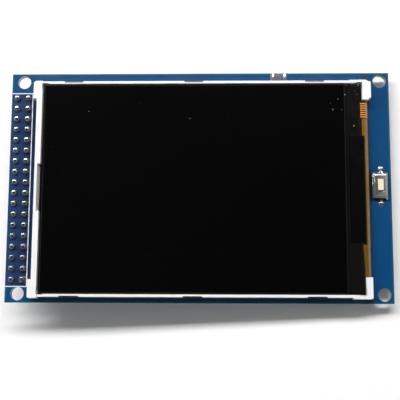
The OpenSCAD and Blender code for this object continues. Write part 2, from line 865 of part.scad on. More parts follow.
module buffer_leads() {
    color([0.76, 0.77, 0.78]) on_back(buffer_at)
        gull_leads(buffer_size, standoff, count = 24, pitch = 0.5, width = 0.22, reach = 1.0,
                   t = 0.15);
}

module logic_body() {
    color([0.09, 0.09, 0.1]) on_back(logic_at) package(logic_size, standoff);
}

module logic_leads() {
    color([0.76, 0.77, 0.78]) on_back(logic_at)
        gull_leads(logic_size, standoff, count = 8, pitch = 1.27, width = 0.42, reach = 1.05,
                   t = 0.2);
}

// Three leads on one side; on the other one lead, as wide as the last value
module three_leads(size, pitch, width, reach, t, far_width) {
    intersection() {
        gull_leads(size, standoff, 3, pitch, width, reach, t);
        translate([-size[0], 0, -1]) cube([2 * size[0], size[1] + 2 * reach, size[2] + 2]);
    }
    rotate(180) intersection() {
        gull_leads(size, standoff, 1, pitch, far_width, reach, t);
        translate([-size[0], 0, -1]) cube([2 * size[0], size[1] + 2 * reach, size[2] + 2]);
    }
}

module regulator_body() {
    color([0.09, 0.09, 0.1]) on_back(regulator_at) package(regulator_size, standoff);
}

module regulator_leads() {
    color([0.76, 0.77, 0.78]) on_back(regulator_at)
        three_leads(regulator_size, pitch = 2.3, width = 0.7, reach = 1.75, t = 0.25,
                    far_width = 3.0);
}

module transistor_body() {
    color([0.09, 0.09, 0.1]) on_back(transistor_at) package(transistor_size, standoff);
}

module transistor_leads() {
    color([0.76, 0.77, 0.78]) on_back(transistor_at) {
        for (side = [-1, 1]) intersection() {
            translate([side * 0.95, 0, 0])
                gull_leads(transistor_size, standoff, 1, 1, 0.4, 0.55, 0.12);
            translate([-5, 0, -1]) cube([10, 5, 5]);
        }
        intersection() {
            gull_leads(transistor_size, standoff, 1, 1, 0.4, 0.55, 0.12);
            translate([-5, -5, -1]) cube([10, 5, 5]);
        }
    }
}

// ---- Memory card socket: its mouth is at local x = 0 and its body runs to -X ----

contact_count = 8;
contact_pitch = 1.1;
contact_w = 0.5;
floor_t = 0.5;
rail_w = 1.0;
back_wall = 2.4;
socket_in = 0.4;

module at_socket() {
    translate([board_right - socket_in, socket_y, 0]) rotate([180, 0, 0]) children();
}

module at_contacts() {
    for (i = [0:contact_count - 1])
        translate([0, (i - (contact_count - 1) / 2) * contact_pitch, 0]) children();
}

module card_socket_base() {
    wide = socket_w - 2 * shell_t - 2 * eps;
    high = socket_h - shell_t - eps;
    deep = socket_l - shell_t - eps;
    color([0.06, 0.06, 0.07]) at_socket() difference() {
        translate([-deep, -wide / 2, 0]) cube([deep, wide, high]);
        translate([-deep + back_wall, -wide / 2 + rail_w, floor_t])
            cube([deep, wide - 2 * rail_w, high]);
        at_contacts() translate([-deep - 1, -contact_w / 2 - 0.1, -1])
            cube([8, contact_w + 0.2, 1 + floor_t + eps]);
        translate([-3.2, -wide / 2 + 2.4, -1]) cube([4, wide - 4.8, socket_h]);
    }
}

module card_socket_shell() {
    window_w = 2.6;
    color([0.74, 0.75, 0.76]) at_socket() difference() {
        translate([-socket_l, -socket_w / 2, 0]) cube([socket_l, socket_w, socket_h]);
        translate([-socket_l + shell_t, -socket_w / 2 + shell_t, -1])
            cube([socket_l, socket_w - 2 * shell_t, socket_h - shell_t + 1]);
        translate([-socket_l - 1, -socket_w / 2 + 2, -1])
            cube([2, socket_w - 4, socket_h - shell_t + 0.2]);
        for (side = [-1, 1]) {
            translate([-socket_l * 0.72, side * socket_w * 0.24 - window_w / 2, 0])
                difference() {
                    cube([5, window_w, socket_h + 1]);
                    translate([0, 0.45, 0]) cube([4.1, window_w - 0.9, socket_h + 1]);
                }
            translate([-socket_l * 0.6, side * socket_w / 2 - 1, -1]) cube([3, 2, 1.9]);
        }
        translate([-1.6, 0, -1]) cylinder(r = 3.2, h = socket_h + 2);
    }
}

// Springs: a tail on the board, and an arm that rises out of the base's slot
module card_socket_contacts() {
    deep = socket_l - shell_t;
    t = 0.12;
    peak = floor_t + 0.3;
    color([0.86, 0.72, 0.4]) at_socket() at_contacts() along_y(contact_w) polygon([
        [-deep - 0.9, 0], [-deep + 4.7, 0], [-deep + 6.2, peak - t], [-deep + 6.7, peak - 2 * t],
        [-deep + 6.7, peak - t], [-deep + 6.2, peak], [-deep + 4.6, t], [-deep - 0.9, t]
    ]);
}

circuit_board();
header_body();
header_pins();
header_solder();
mounting_tape();
backlight_tray();
display_frame();
reflector_sheet();
light_guide();
diffuser_film();
prism_film_lower();
prism_film_upper();
backlight_flex();
backlight_leds();
rim_tape();
rear_polarizer();
array_glass();
filter_glass();
front_polarizer();
driver_chip();
driver_tape();
display_flex();
flex_solder();
switch_base();
switch_cover();
switch_plunger();
switch_dome();
switch_terminals();
switch_solder();
front_resistor();
front_resistor_caps();
front_resistor_solder();
card_socket_base();
card_socket_shell();
card_socket_contacts();
regulator_body();
regulator_leads();
buffer_body();
buffer_leads();
logic_body();
logic_leads();
transistor_body();
transistor_leads();
tantalum_bodies();
tantalum_terminals();
chip_resistors();
chip_capacitors();
chip_terminals();
chip_solder();
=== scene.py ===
"""Looks of a TFT display module, laid out as an add-on and run as a script.

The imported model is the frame: its nodes keep their place, and every piece made here rides on
one of its bodies. Lengths in the code are millimetres until a piece is finished.
"""

import json
import math
import random

import bmesh
import bpy
from mathutils import Matrix, Vector


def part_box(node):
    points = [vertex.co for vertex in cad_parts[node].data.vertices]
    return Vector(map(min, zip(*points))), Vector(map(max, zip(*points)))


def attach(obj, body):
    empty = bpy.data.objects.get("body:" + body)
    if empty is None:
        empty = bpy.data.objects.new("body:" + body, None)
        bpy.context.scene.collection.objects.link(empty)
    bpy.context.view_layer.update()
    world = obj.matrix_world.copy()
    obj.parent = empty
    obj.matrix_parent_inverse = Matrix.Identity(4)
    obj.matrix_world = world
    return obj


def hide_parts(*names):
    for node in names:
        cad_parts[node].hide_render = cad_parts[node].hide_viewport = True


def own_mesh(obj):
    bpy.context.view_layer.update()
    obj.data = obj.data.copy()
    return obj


bl_info = {
    "name": "TFT display module",
    "version": (1, 0, 0),
    "blender": (4, 5, 0),
    "location": "View3D > Sidebar > Display",
    "description": "Builds the finish and the small parts of a colour display module",
    "category": "Object",
}

MM = 0.001
BODY = "module"
PLUNGER_BODY = "reset_plunger"

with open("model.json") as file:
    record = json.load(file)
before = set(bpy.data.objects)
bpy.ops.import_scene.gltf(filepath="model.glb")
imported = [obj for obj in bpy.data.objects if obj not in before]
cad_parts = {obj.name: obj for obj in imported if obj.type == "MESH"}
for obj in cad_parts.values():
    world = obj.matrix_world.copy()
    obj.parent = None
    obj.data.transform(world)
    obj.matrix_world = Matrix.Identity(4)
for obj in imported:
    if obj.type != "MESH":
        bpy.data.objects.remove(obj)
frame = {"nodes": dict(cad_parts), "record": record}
bpy.context.view_layer.update()


# ---- Places, all read from the frame ----


def box_mm(node):
    """Lowest and highest corner of a CAD node, in millimetres."""
    low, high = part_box(node)
    return Vector(low) / MM, Vector(high) / MM


def middle(node):
    low, high = box_mm(node)
    return (low + high) / 2


BOARD_LOW, BOARD_HIGH = box_mm("circuit_board")
FRAME_LOW, FRAME_HIGH = box_mm("display_frame")
FRONT = BOARD_HIGH.z
BACK = BOARD_LOW.z
PIN_PITCH = 2.54
PIN_ROWS = 18
PIN_WIDTH = 0.64


def pin_places():
    """(x, y, row, column) of each header pin, row 0 at the lower edge."""
    low, high = box_mm("header_pins")
    columns = (low.x + PIN_WIDTH / 2, high.x - PIN_WIDTH / 2)
    first = low.y + PIN_WIDTH / 2
    return [
        (x, first + row * PIN_PITCH, row, column)
        for row in range(PIN_ROWS)
        for column, x in enumerate(columns)
    ]


def solids_of(node):
    """The box (low, high) of each separate solid in a CAD node, in millimetres."""
    mesh = frame["nodes"][node].data
    bm = bmesh.new()
    bm.from_mesh(mesh)
    bmesh.ops.remove_doubles(bm, verts=bm.verts, dist=1e-7)
    left = set(bm.verts)
    boxes = []
    while left:
        solid = connected(next(iter(left)))
        left -= solid
        corners = list(zip(*(v.co / MM for v in solid)))
        boxes.append((Vector(map(min, corners)), Vector(map(max, corners))))
    bm.free()
    return sorted(boxes, key=lambda pair: (round(pair[0].y, 2), round(pair[0].x, 2)))


# ---- Settings that a user would change ----


def number(name, description, default, **options):
    return bpy.props.FloatProperty(
        name=name, description=description, default=default, **options
    )


def length(name, description, default):
    """A length in metres, given here in millimetres."""
    return number(name, description, default * MM, min=0.0, unit="LENGTH", precision=5)


def offset(name, description, default):
    """A length that may be negative, given in millimetres."""
    return number(name, description, default * MM, unit="LENGTH", precision=5)


def angle(name, description, degrees):
    return number(name, description, math.radians(degrees), subtype="ANGLE")


def share(name, description, default, most=1.0):
    return number(name, description, default, min=0.0, max=most, subtype="FACTOR")


def tint(name, description, default):
    return bpy.props.FloatVectorProperty(
        name=name,
        description=description,
        default=default,
        size=3,
        min=0.0,
        max=1.0,
        subtype="COLOR",
    )


class BoardSettings(bpy.types.PropertyGroup):
    mask: tint("Solder mask", "Mask over the copper pour", (0.003, 0.06, 0.178))
    bare_mask: tint("Bare mask", "Mask over plain laminate", (0.006, 0.085, 0.168))
    header_mask: tint("Header mask", "Mask round the header", (0.018, 0.05, 0.135))
    header_inner: tint("Inner header mask", "Mask beside the frame", (0.01, 0.022, 0.055))
    # A greyer, duller band of mask along the right end of the flexible circuit
    residue: tint("Residue", "Dull residue beside the flexible circuit", (0.03, 0.04, 0.03))
    flex_side_grey_width: length("Residue width", "Reach of the residue from the flexible circuit", 1.2)
    flex_side_grey_share: share("Residue strength", "How much of the mask the residue hides", 0.5)
    # Painted shadow: a darker brown mask between the flexible circuit and the switch, where the
    # switch's shade falls
    grime: tint("Grime", "Brown grime beside the switch", (0.016, 0.012, 0.006))
    switch_shade_reach: length("Grime reach", "How far the grime fades past the switch's ends", 1.5)
    core: tint("Laminate", "Cut edge of the board", (0.38, 0.4, 0.31))
    legend: tint("Legend", "Printed lines on the board", (0.8, 0.82, 0.9))
    legend_width: length("Legend width", "Width of a printed line", 0.2)
    legend_height: length("Legend thickness", "Thickness of the print", 0.015)
    outline_top: length("Outline's top", "Board's upper edge to the header's outline", 4.78)
    outline_bottom: length("Outline's foot", "Board's upper edge to its lower line", 50.8)
    outline_inset: length("Outline's inset", "Header's side to the outline's long line", 0.27)
    track_width: length("Track width", "Width of a copper track", 0.22)
    track_height: length("Track height", "Rise of a track under the mask", 0.02)
    via: length("Via", "Radius of a via's ring", 0.32)
    pour_inset: length("Pour inset", "Copper pour to the board's edge", 0.45)


class HeaderSettings(bpy.types.PropertyGroup):
    foot: length("Joint foot", "Radius of a solder joint's foot", 0.76)
    height: length("Joint height", "Height of the solder round a pin", 0.98)
    tip: length("Tip width", "Width of a pin's flat tip", 0.66)
    tip_height: length("Tip height", "Height of a pin's tip over the board", 1.22)
    bead: length("Solder bead", "Radius of a stray bead of solder", 0.2)
    unevenness: share("Unevenness", "How much one joint differs from the next", 0.1, most=0.5)


class FrameSettings(bpy.types.PropertyGroup):
    tab: tint("Tab tip", "Metal of a tab's tip on the frame's edge", (0.19, 0.18, 0.16))
    tab_length: length("Tab length", "Length of a tab's tip", 4.3)
    tab_pitch: length("Tab pitch", "Distance between neighbouring tabs", 28.3)
    tab_shift: length("Tab shift", "Offset of the middle tab from the frame's middle", 1.85)
    tab_reach: length("Tab reach", "Reach of a tip in from the frame's outer edge", 0.51)


class ScreenSettings(bpy.types.PropertyGroup):
    film: tint("Screen film", "Front polarizer", (0.0012, 0.0012, 0.0014))
    ledge: tint("Ledge glass", "Glass beside the film", (0.005, 0.0048, 0.004))
    # Partly the ground edge's own paler colour and partly a painted highlight along it
    ground_edge_glint: tint("Ground edge", "Cut edge of the glass", (0.02, 0.019, 0.018))
    edge_width: length("Edge width", "Width of the glass's ground edge", 0.12)
    specks: bpy.props.IntProperty(
        name="Specks", description="Fine specks of dust on the screen", default=4, min=0
    )
    speck_size: length("Speck size", "Radius of a large speck", 0.15)


class FlexSettings(bpy.types.PropertyGroup):
    film: tint("Flex film", "Amber polyimide", (0.228, 0.109, 0.012))
    over_glass: tint("Film on the glass", "The film over dark glass", (0.009, 0.0065, 0.004))
    between: tint("Film between tracks", "The film where the tracks run", (0.1, 0.018, 0.001))
    low_film: tint("Lower film", "The film below the cover strip", (0.126, 0.067, 0.007))
    # Painted sheen: paler film where it turns down at the end
    bend: tint("Bent film", "The film where it turns down at the end", (0.25, 0.17, 0.078))
    shade: length("Shade", "Dark film past the glass, under the cover strip", 0.56)
    lift: length("Lifted corner", "Film that stands off the glass below the strip", 0.3)
    copper: tint("Flex copper", "Copper under the film", (0.72, 0.34, 0.09))
    tracks: bpy.props.IntProperty(
        name="Tracks", description="Copper tracks at the film's top", default=7, min=1
    )
    first: length("First track", "From the film's top edge to the first track", 0.68)
    pitch: length("Track pitch", "Distance between the flex's tracks", 0.527)
    width: length("Track width", "Width of one of the flex's tracks", 0.24)


class StageSettings(bpy.types.PropertyGroup):
    floor: tint("Floor", "Floor and backdrop", (0.97, 0.97, 0.97))
    horizon: number("Horizon", "Light from the walls of the room", 0.45, min=0.0)
    zenith: number("Zenith", "Light from the dim ceiling", 0.05, min=0.0)
    dim_side: angle("Dim side", "Darkest direction, turned from overhead to the right", 14.0)
    key: number("Key light", "Power of the soft lamp", 8.2, min=0.0, unit="POWER")
    key_length: length("Key length", "Long side of the lamp", 1300.0)
    key_depth: length("Key depth", "Short side of the lamp", 105.0)
    key_away: length("Key distance", "Lamp to the board", 700.0)
    key_height: angle("Key height", "Key light above the horizon", 59.0)
    key_side: offset("Key sideways", "Key light to the right", -340.0)
    focal: number(
        "Focal length", "Lens of the camera", 81.0, min=1.0, subtype="DISTANCE_CAMERA"
    )
    distance: length("Camera distance", "Camera to the board", 210.2)
    aim_x: offset("Aim across", "Aim from the board's centre", 0.304)
    aim_y: offset("Aim up", "Aim from the board's centre", -3.276)
    tilt: angle("Camera tilt", "Camera turned about X", 8.956)
    lean: angle("Camera lean", "Camera turned about Y", 1.699)
    roll: angle("Camera roll", "Camera turned about Z", 0.297)


SETTINGS = {
    "tft_board": BoardSettings,
    "tft_header": HeaderSettings,
    "tft_frame": FrameSettings,
    "tft_screen": ScreenSettings,
    "tft_flex": FlexSettings,
    "tft_stage": StageSettings,
}


def settings(group):
    return getattr(bpy.context.scene, group)


# ---- Shapes ----


def place(x, y, z):
    return Matrix.Translation((x, y, z))


def add_block(bm, low, high):
    """A box between two corners."""
    low, high = Vector(low), Vector(high)
    matrix = Matrix.Translation((low + high) / 2) @ Matrix.Diagonal((*(high - low), 1))
    bmesh.ops.create_cube(bm, size=1, matrix=matrix)


def add_bar(bm, start, end, width, z, height):
    """A flat bar from one point to another, lying at z."""
    start, end = Vector(start), Vector(end)
    run = end - start
    matrix = (
        place(*((start + end) / 2), z + height / 2)
        @ Matrix.Rotation(math.atan2(run.y, run.x), 4, "Z")
        @ Matrix.Diagonal((run.length, width, abs(height), 1))
    )
    bmesh.ops.create_cube(bm, size=1, matrix=matrix)


def add_disc(bm, x, y, z, radius, height, steps=20):
    """An upright disc that stands at z."""
    bmesh.ops.create_cone(
        bm,
        cap_ends=True,
        segments=steps,
        radius1=radius,
        radius2=radius,
        depth=height,
        matrix=place(x, y, z + height / 2),
    )


def add_path(bm, points, width, z, height):
    """A flat track through some points, round at its corners."""
    for start, end in zip(points, points[1:]):
        add_bar(bm, start, end, width, z, height)
    for x, y in points[1:-1]:
        # A hair lower than the bars, so that no two faces coincide
        add_disc(bm, x, y, z, width / 2, height * 0.99, steps=12)


def add_outline(bm, low, high, width, z, height):
    """Four lines round a rectangle."""
    half = width / 2
    for x in (low[0], high[0]):
        add_block(bm, (x - half, low[1] - half, z), (x + half, high[1] + half, z + height))
    for y in (low[1], high[1]):
        add_block(bm, (low[0] + half, y - half, z), (high[0] - half, y + half, z + height))


def jog(start, end, turn_x):
    """A track that runs right, slants at 45 degrees from turn_x and runs right again."""
    drop = abs(start[1] - end[1])
    return [start, (turn_x, start[1]), (turn_x + drop, end[1]), end]


def connected(vert):
    """Every vertex that edges join to this one."""
    found, todo = {vert}, [vert]
    while todo:
        for edge in todo.pop().link_edges:
            for other in edge.verts:
                if other not in found:
                    found.add(other)
                    todo.append(other)
    return found


def add_line(bm, points):
    """Edges through some points; returns (vertices, edges)."""
    verts = [bm.verts.new(point) for point in points]
    return verts, [bm.edges.new(pair) for pair in zip(verts, verts[1:])]


def spin(bm, profile, steps):
    """Turns a profile of (radius, height) points about Z; returns its vertices."""
    verts, edges = add_line(bm, [(radius, 0, height) for radius, height in profile])
    bmesh.ops.spin(
        bm,
        geom=verts + edges,
        angle=math.tau,
        steps=steps,
        axis=(0, 0, 1),
        cent=(0, 0, 0),
        use_merge=True,
    )
    return verts


def lathe(bm, profile, steps, matrix):
    """A closed spun shape, put in its place; both ends of its profile lie on the axis."""
    ring = connected(spin(bm, profile, steps)[0])
    bmesh.ops.remove_doubles(bm, verts=list(ring), dist=1e-4)
    ring = [v for v in ring if v.is_valid]
    bmesh.ops.transform(bm, matrix=matrix, verts=ring)
    return ring


def round_edges(bm, edges, width, segments, **options):
    bmesh.ops.bevel(
        bm,
        geom=edges,
        offset=width,
        offset_type="OFFSET",
        segments=segments,
        profile=0.5,
        affect="EDGES",
        material=-1,
        **options,
    )


def put(name, data):
    """A new object in the scene."""
    made = bpy.data.objects.new(name, data)
    bpy.context.collection.objects.link(made)
    return made


def as_mesh(bm, name, material):
    """The shape, drawn in millimetres, as a mesh in metres."""
    bmesh.ops.scale(bm, vec=(MM, MM, MM), verts=bm.verts)
    mesh = bpy.data.meshes.new(name)
    bm.to_mesh(mesh)
    bm.free()
    mesh.materials.append(material)
    return mesh


def finish_piece(bm, name, slot, finish=None, body=BODY, smooth=None):
    """Turns the shape into a piece that rides on a body."""
    bmesh.ops.recalc_face_normals(bm, faces=bm.faces)
    mesh = as_mesh(bm, name, MATERIALS[finish or slot])
    if smooth is not None:
        mesh.shade_smooth()
        mesh.set_sharp_from_angle(angle=math.radians(smooth))
    piece = put(name, mesh)
    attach(piece, body)
    return piece


def softened(node, name, width, segments=2, body=BODY, finish=None):
    """A copy of a CAD node with its sharp edges rounded, which stands for the node."""
    flat, crease, smooth = math.radians(0.5), math.radians(30), 50
    bm = bmesh.new()
    bm.from_mesh(frame["nodes"][node].data)
    bmesh.ops.scale(bm, vec=(1 / MM,) * 3, verts=bm.verts)
    bmesh.ops.remove_doubles(bm, verts=bm.verts, dist=1e-4)
    bmesh.ops.dissolve_limit(bm, angle_limit=flat, verts=bm.verts, edges=bm.edges)
    sharp = [e for e in bm.edges if len(e.link_faces) == 2 and e.calc_face_angle() > crease]
    round_edges(bm, sharp, width, segments, clamp_overlap=True)
    slot = next(s["material_slot"] for s in frame["record"]["subparts"] if s["node"] == node)
    piece = finish_piece(bm, name, slot, finish, body, smooth)
    weighted = piece.modifiers.new("Face normals", "WEIGHTED_NORMAL")
    weighted.keep_sharp = True
    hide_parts(node)
    return piece


# ---- Shader nodes ----


def node(tree, kind, values=None, **options):
    """Adds a node, sets its options and its input values or links."""
    made = tree.nodes.new(kind)
    for key, value in options.items():
        setattr(made, key, value)
    for key, value in (values or {}).items():
        if isinstance(value, bpy.types.NodeSocket):
            tree.links.new(value, made.inputs[key])
        else:
            made.inputs[key].default_value = value
    return made


def maths(tree, operation, first, second=0.0, clamp=False):
    values = {0: first, 1: second}
    return node(tree, "ShaderNodeMath", values, operation=operation, use_clamp=clamp).outputs[0]


def product(tree, first, *others):
    for other in others:
        first = maths(tree, "MULTIPLY", first, other)
    return first


def inverse(tree, mask):
    return maths(tree, "SUBTRACT", 1.0, mask)


def above(tree, value, limit):
    """1 above the limit, 0 below it."""
    return maths(tree, "GREATER_THAN", value, limit)


def below(tree, value, limit):
    """1 below the limit, 0 above it."""
    return maths(tree, "LESS_THAN", value, limit)


def distance(tree, value, centre):
    return maths(tree, "ABSOLUTE", maths(tree, "SUBTRACT", value, centre))


def mapped(tree, value, low, high, to_low=0.0, to_high=1.0, **options):
    """A value moved from one range to another."""
    ends = {"From Min": low, "From Max": high, "To Min": to_low, "To Max": to_high}
    made = node(tree, "ShaderNodeMapRange", {"Value": value, **ends}, **options)
    return made.outputs["Result"]


def eased(tree, value, low, high):
    """0 below low, 1 above high, smooth between."""
    return mapped(tree, value, low, high, interpolation_type="SMOOTHSTEP")


def blended(tree, factor, first, second):
    """A mix of two colours, each a socket or a tint."""
    sides = [
        side if isinstance(side, bpy.types.NodeSocket) else (*side[:3], 1)
        for side in (first, second)
    ]
    values = {0: factor, 6: sides[0], 7: sides[1]}
    return node(tree, "ShaderNodeMix", values, data_type="RGBA").outputs[2]


def object_coordinates(tree):
    return tree.nodes.new("ShaderNodeTexCoord").outputs["Object"]


def coordinates(tree):
    """The surface's own X, Y and Z, in metres."""
    return node(tree, "ShaderNodeSeparateXYZ", {"Vector": object_coordinates(tree)}).outputs


def outside(tree, x, y, low, high):
    """How far a point lies outside a rectangle, less than 0 inside it."""
    centre, half = (low + high) / 2 * MM, (high - low) / 2 * MM
    past_x = maths(tree, "SUBTRACT", distance(tree, x, centre.x), half.x)
    past_y = maths(tree, "SUBTRACT", distance(tree, y, centre.y), half.y)
    return maths(tree, "MAXIMUM", past_x, past_y)


def noise(tree, scale, **values):
    values = {"Vector": object_coordinates(tree), "Scale": scale, **values}
    return node(tree, "ShaderNodeTexNoise", values).outputs["Fac"]


# ---- Shader groups that several finishes share ----

GROUPS = {}


def new_group(name, inputs, output):
    """A group with (name, default) inputs; returns (tree, input sockets, output socket)."""
    tree = bpy.data.node_groups.new(name, "ShaderNodeTree")
    for socket, default in inputs:
        kind = "NodeSocketColor" if isinstance(default, tuple) else "NodeSocketFloat"
        made = tree.interface.new_socket(name=socket, in_out="INPUT", socket_type=kind)
        made.default_value = default
    kind = "NodeSocketColor" if output == "Color" else "NodeSocketFloat"
    tree.interface.new_socket(name=output, in_out="OUTPUT", socket_type=kind)
    given = tree.nodes.new("NodeGroupInput").outputs
    return tree, given, tree.nodes.new("NodeGroupOutput").inputs[output]


def use_group(tree, name, **values):
    return node(tree, "ShaderNodeGroup", values, node_tree=GROUPS[name]).outputs[0]


def make_tone_drift():
    """Colour that drifts a little lighter and darker over the surface."""
    inputs = [("Color", (0.5, 0.5, 0.5, 1)), ("Scale", 100.0), ("Strength", 0.1)]
    tree, given, out = new_group("tone_drift", inputs, "Color")
    cloud = noise(tree, given["Scale"], Detail=4.0, Roughness=0.6)
    swing = product(tree, maths(tree, "SUBTRACT", cloud, 0.5), given["Strength"], 2.0)
    values = {"Value": maths(tree, "ADD", swing, 1.0), "Color": given["Color"]}
    shade = node(tree, "ShaderNodeHueSaturation", values)
    tree.links.new(shade.outputs["Color"], out)
    return tree


def make_fine_grain():
    """Height of a fine moulded or etched grain."""
    tree, given, out = new_group("fine_grain", [("Scale", 4000.0)], "Height")
    tree.links.new(noise(tree, given["Scale"], Detail=3.0, Roughness=0.55), out)
    return tree


def make_handling():
    """Mask of wiped patches and faint prints, for roughness."""
    inputs = [("Scale", 60.0), ("Low", 0.2), ("High", 0.35)]
    tree, given, out = new_group("handling", inputs, "Roughness")
    patches = noise(tree, given["Scale"], Detail=5.0, Distortion=0.8)
    tree.links.new(mapped(tree, patches, 0.3, 0.7, given["Low"], given["High"]), out)
    return tree


def make_dust():
    """Mask of fine dust: small dots, of which only a share is kept."""
    dot = 0.13
    tree, given, out = new_group("dust", [("Scale", 1500.0), ("Cover", 0.05)], "Mask")
    values = {"Vector": object_coordinates(tree), "Scale": given["Scale"], "Randomness": 1.0}
    points = node(tree, "ShaderNodeTexVoronoi", values).outputs
    near = below(tree, points["Distance"], dot)
    chance = node(tree, "ShaderNodeSeparateColor", {"Color": points["Color"]}).outputs[0]
    tree.links.new(product(tree, near, below(tree, chance, given["Cover"])), out)
    return tree


# ---- Finishes ----

MATERIALS = {}
GLAZE = {"Specular_IOR_Level": 0.3, "Coat_Weight": 0.15, "Coat_Roughness": 0.06}


class Finish:
    """A material with a Principled shader and short ways to feed it."""

    def __init__(self, name, color, roughness, **values):
        self.material = bpy.data.materials.new(name)
        self.material.use_nodes = True
        self.tree = self.material.node_tree
        self.shader = self.tree.nodes["Principled BSDF"]
        self.color = (*color[:3], 1.0)
        self.shader.inputs["Base Color"].default_value = self.color
        self.shader.inputs["Roughness"].default_value = roughness
        for key, value in values.items():
            self.shader.inputs[key.replace("_", " ")].default_value = value

    def feed(self, socket, value):
        self.tree.links.new(value, self.shader.inputs[socket])

    def drift(self, scale, strength, color=None):
        """Feeds the colour, or another one, with slow changes of tone."""
        values = {"Color": color or self.color, "Scale": scale, "Strength": strength}
        color = use_group(self.tree, "tone_drift", **values)
        self.feed("Base Color", color)
        return color

    def patch(self, mask, first, second):
        """Feeds one colour where the mask is 0 and another where it is 1."""
        self.feed("Base Color", blended(self.tree, mask, first, second))

    def bump(self, height, depth):
        values = {"Height": height, "Distance": depth * MM, "Strength": 1.0}
        self.feed("Normal", node(self.tree, "ShaderNodeBump", values).outputs["Normal"])

    def grain(self, scale, depth):
        self.bump(use_group(self.tree, "fine_grain", Scale=scale), depth)

    def handled(self, scale, low, high):
        """Feeds the roughness, between two values, in wiped patches."""
        self.feed("Roughness", use_group(self.tree, "handling", Scale=scale, Low=low, High=high))


def board_finish():
    """Glossy mask: brighter over copper, darker and greener over bare laminate."""
    look = settings("tft_board")
    made = Finish("board_enamel", look.mask, 0.2, **GLAZE)
    tree = made.tree
    x, y = coordinates(tree)[:2]
    blur = 0.1 * MM
    edge = outside(tree, x, y, BOARD_LOW, BOARD_HIGH)
    bare = eased(tree, edge, -look.pour_inset - blur, -look.pour_inset + blur)
    color = blended(tree, bare, look.mask, look.bare_mask)
    top = BOARD_HIGH.y * MM
    header = product(
        tree,
        below(tree, x, FRAME_LOW.x * MM),
        above(tree, y, top - look.outline_bottom),
        below(tree, y, top - look.outline_top),
    )
    across = eased(tree, x, BOARD_LOW.x * MM, FRAME_LOW.x * MM)
    around_pins = blended(tree, across, look.header_mask, look.header_inner)
    color = blended(tree, header, color, around_pins)
    # The mask turns greyer in a band at the flexible circuit's right end
    flex_end = box_mm("display_flex")[1].x * MM
    right = above(tree, x, flex_end - 1 * MM)
    near = inverse(tree, eased(tree, x, flex_end, flex_end + look.flex_side_grey_width))
    color = blended(tree, product(tree, near, look.flex_side_grey_share, right), color, look.residue)
    # Painted shadow of the switch on the mask, beside the flexible circuit, fading past the
    # switch's ends
    low, high = box_mm("switch_cover")
    end = high.y * MM
    level = inverse(tree, eased(tree, maths(tree, "ABSOLUTE", y), end, end + look.switch_shade_reach))
    grime = product(tree, level, below(tree, x, low.x * MM), right)
    color = made.drift(160.0, 0.16, blended(tree, grime, color, look.grime))
    normal = node(tree, "ShaderNodeNewGeometry").outputs["Normal"]
    up = node(tree, "ShaderNodeSeparateXYZ", {"Vector": normal}).outputs[2]
    made.patch(below(tree, maths(tree, "ABSOLUTE", up), 0.5), color, look.core)
    weave = []
    for direction in ("X", "Y"):
        values = {"Vector": object_coordinates(tree), "Scale": 640.0, "Distortion": 0.6}
        wave = node(tree, "ShaderNodeTexWave", values, bands_direction=direction)
        weave.append(wave.outputs["Fac"])
    made.bump(product(tree, *weave), 0.004)
    made.handled(70.0, 0.14, 0.22)
    return made.material


def track_finish():
    """The board's mask, brighter over a copper track."""
    brighter = 1.35
    color = [c * brighter for c in settings("tft_board").mask]
    made = Finish("covered_copper", color, 0.2, **GLAZE)
    made.drift(200.0, 0.1)
    return made.material


def plain_finish(name, color, roughness, scale, drift, **values):
    made = Finish(name, color, roughness, **values)
    made.drift(scale, drift)
    return made.material


def plastic_finish(name, color, low, high, grain, depth, drift=0.08, gloss=0.5):
    made = Finish(name, color, high, Specular_IOR_Level=gloss)
    made.drift(260.0, drift)
    made.grain(grain, depth)
    made.handled(320.0, low, high)
    return made.material


def metal_finish(name, color, low, high, depth=0.002, drift=0.1, patch=900.0):
    made = Finish(name, color, low, Metallic=1.0)
    made.drift(patch, drift)
    made.grain(2500.0, depth)
    made.handled(patch, low, high)
    return made.material


def switch_shadow_finish(name, color, dark, low, high, patch, drift, grain, depth):
    """Metal with a painted shadow of the switch: darker at the switch's lower terminal."""
    made = Finish(name, color, low, Metallic=1.0)
    # Painted shadow of the switch over its lower terminal and the solder there
    made.patch(switch_shadow_mask(made.tree), made.drift(patch, drift), dark)
    made.grain(grain, depth)
    made.handled(patch, low, high)
    return made.material


def switch_shadow_mask(tree):
    """Mask of the switch's painted shadow: 1 at the switch's lower end, 0 elsewhere."""
    low = box_mm("switch_base")[0]
    left, down = 1, 3
    x, y = coordinates(tree)[:2]
    return product(
        tree,
        above(tree, x, (low.x - left) * MM),
        below(tree, y, low.y * MM * 0.8),
        above(tree, y, (low.y - down) * MM),
    )


def cover_finish():
    """Pressed metal, polished at its left and duller towards its right."""
    polished, dull = 0.14, 0.27
    made = Finish("cover_steel", (0.66, 0.65, 0.62), polished, Metallic=1.0)
    made.drift(260.0, 0.05)
    made.grain(2500.0, 0.002)
    low, high = box_mm("switch_cover")
    x = coordinates(made.tree)[0]
    made.feed("Roughness", mapped(made.tree, x, low.x * MM, high.x * MM, polished, dull))
    return made.material


def white_frame_finish():
    """White plastic, with the tray's metal tab tips folded over its outer edge."""
    look = settings("tft_frame")
    soft = {"Subsurface_Weight": 0.15, "Subsurface_Scale": 0.4 * MM}
    made = Finish("white_frame", (0.85, 0.85, 0.845), 0.4, **soft)
    tree = made.tree
    color = made.drift(120.0, 0.03)
    low, high = box_mm("display_frame")
    centre, half = (low + high) / 2 * MM, (high - low) / 2 * MM
    x, y = coordinates(tree)[:2]
    off = distance(tree, x, centre.x - look.tab_shift)
    off_nearest = maths(tree, "MINIMUM", off, distance(tree, off, look.tab_pitch))
    along = below(tree, off_nearest, look.tab_length / 2)
    outer = above(tree, distance(tree, y, centre.y), half.y - look.tab_reach)
    made.patch(product(tree, along, outer), color, look.tab)
    made.grain(3600.0, 0.002)
    made.handled(150.0, 0.34, 0.46)
    return made.material


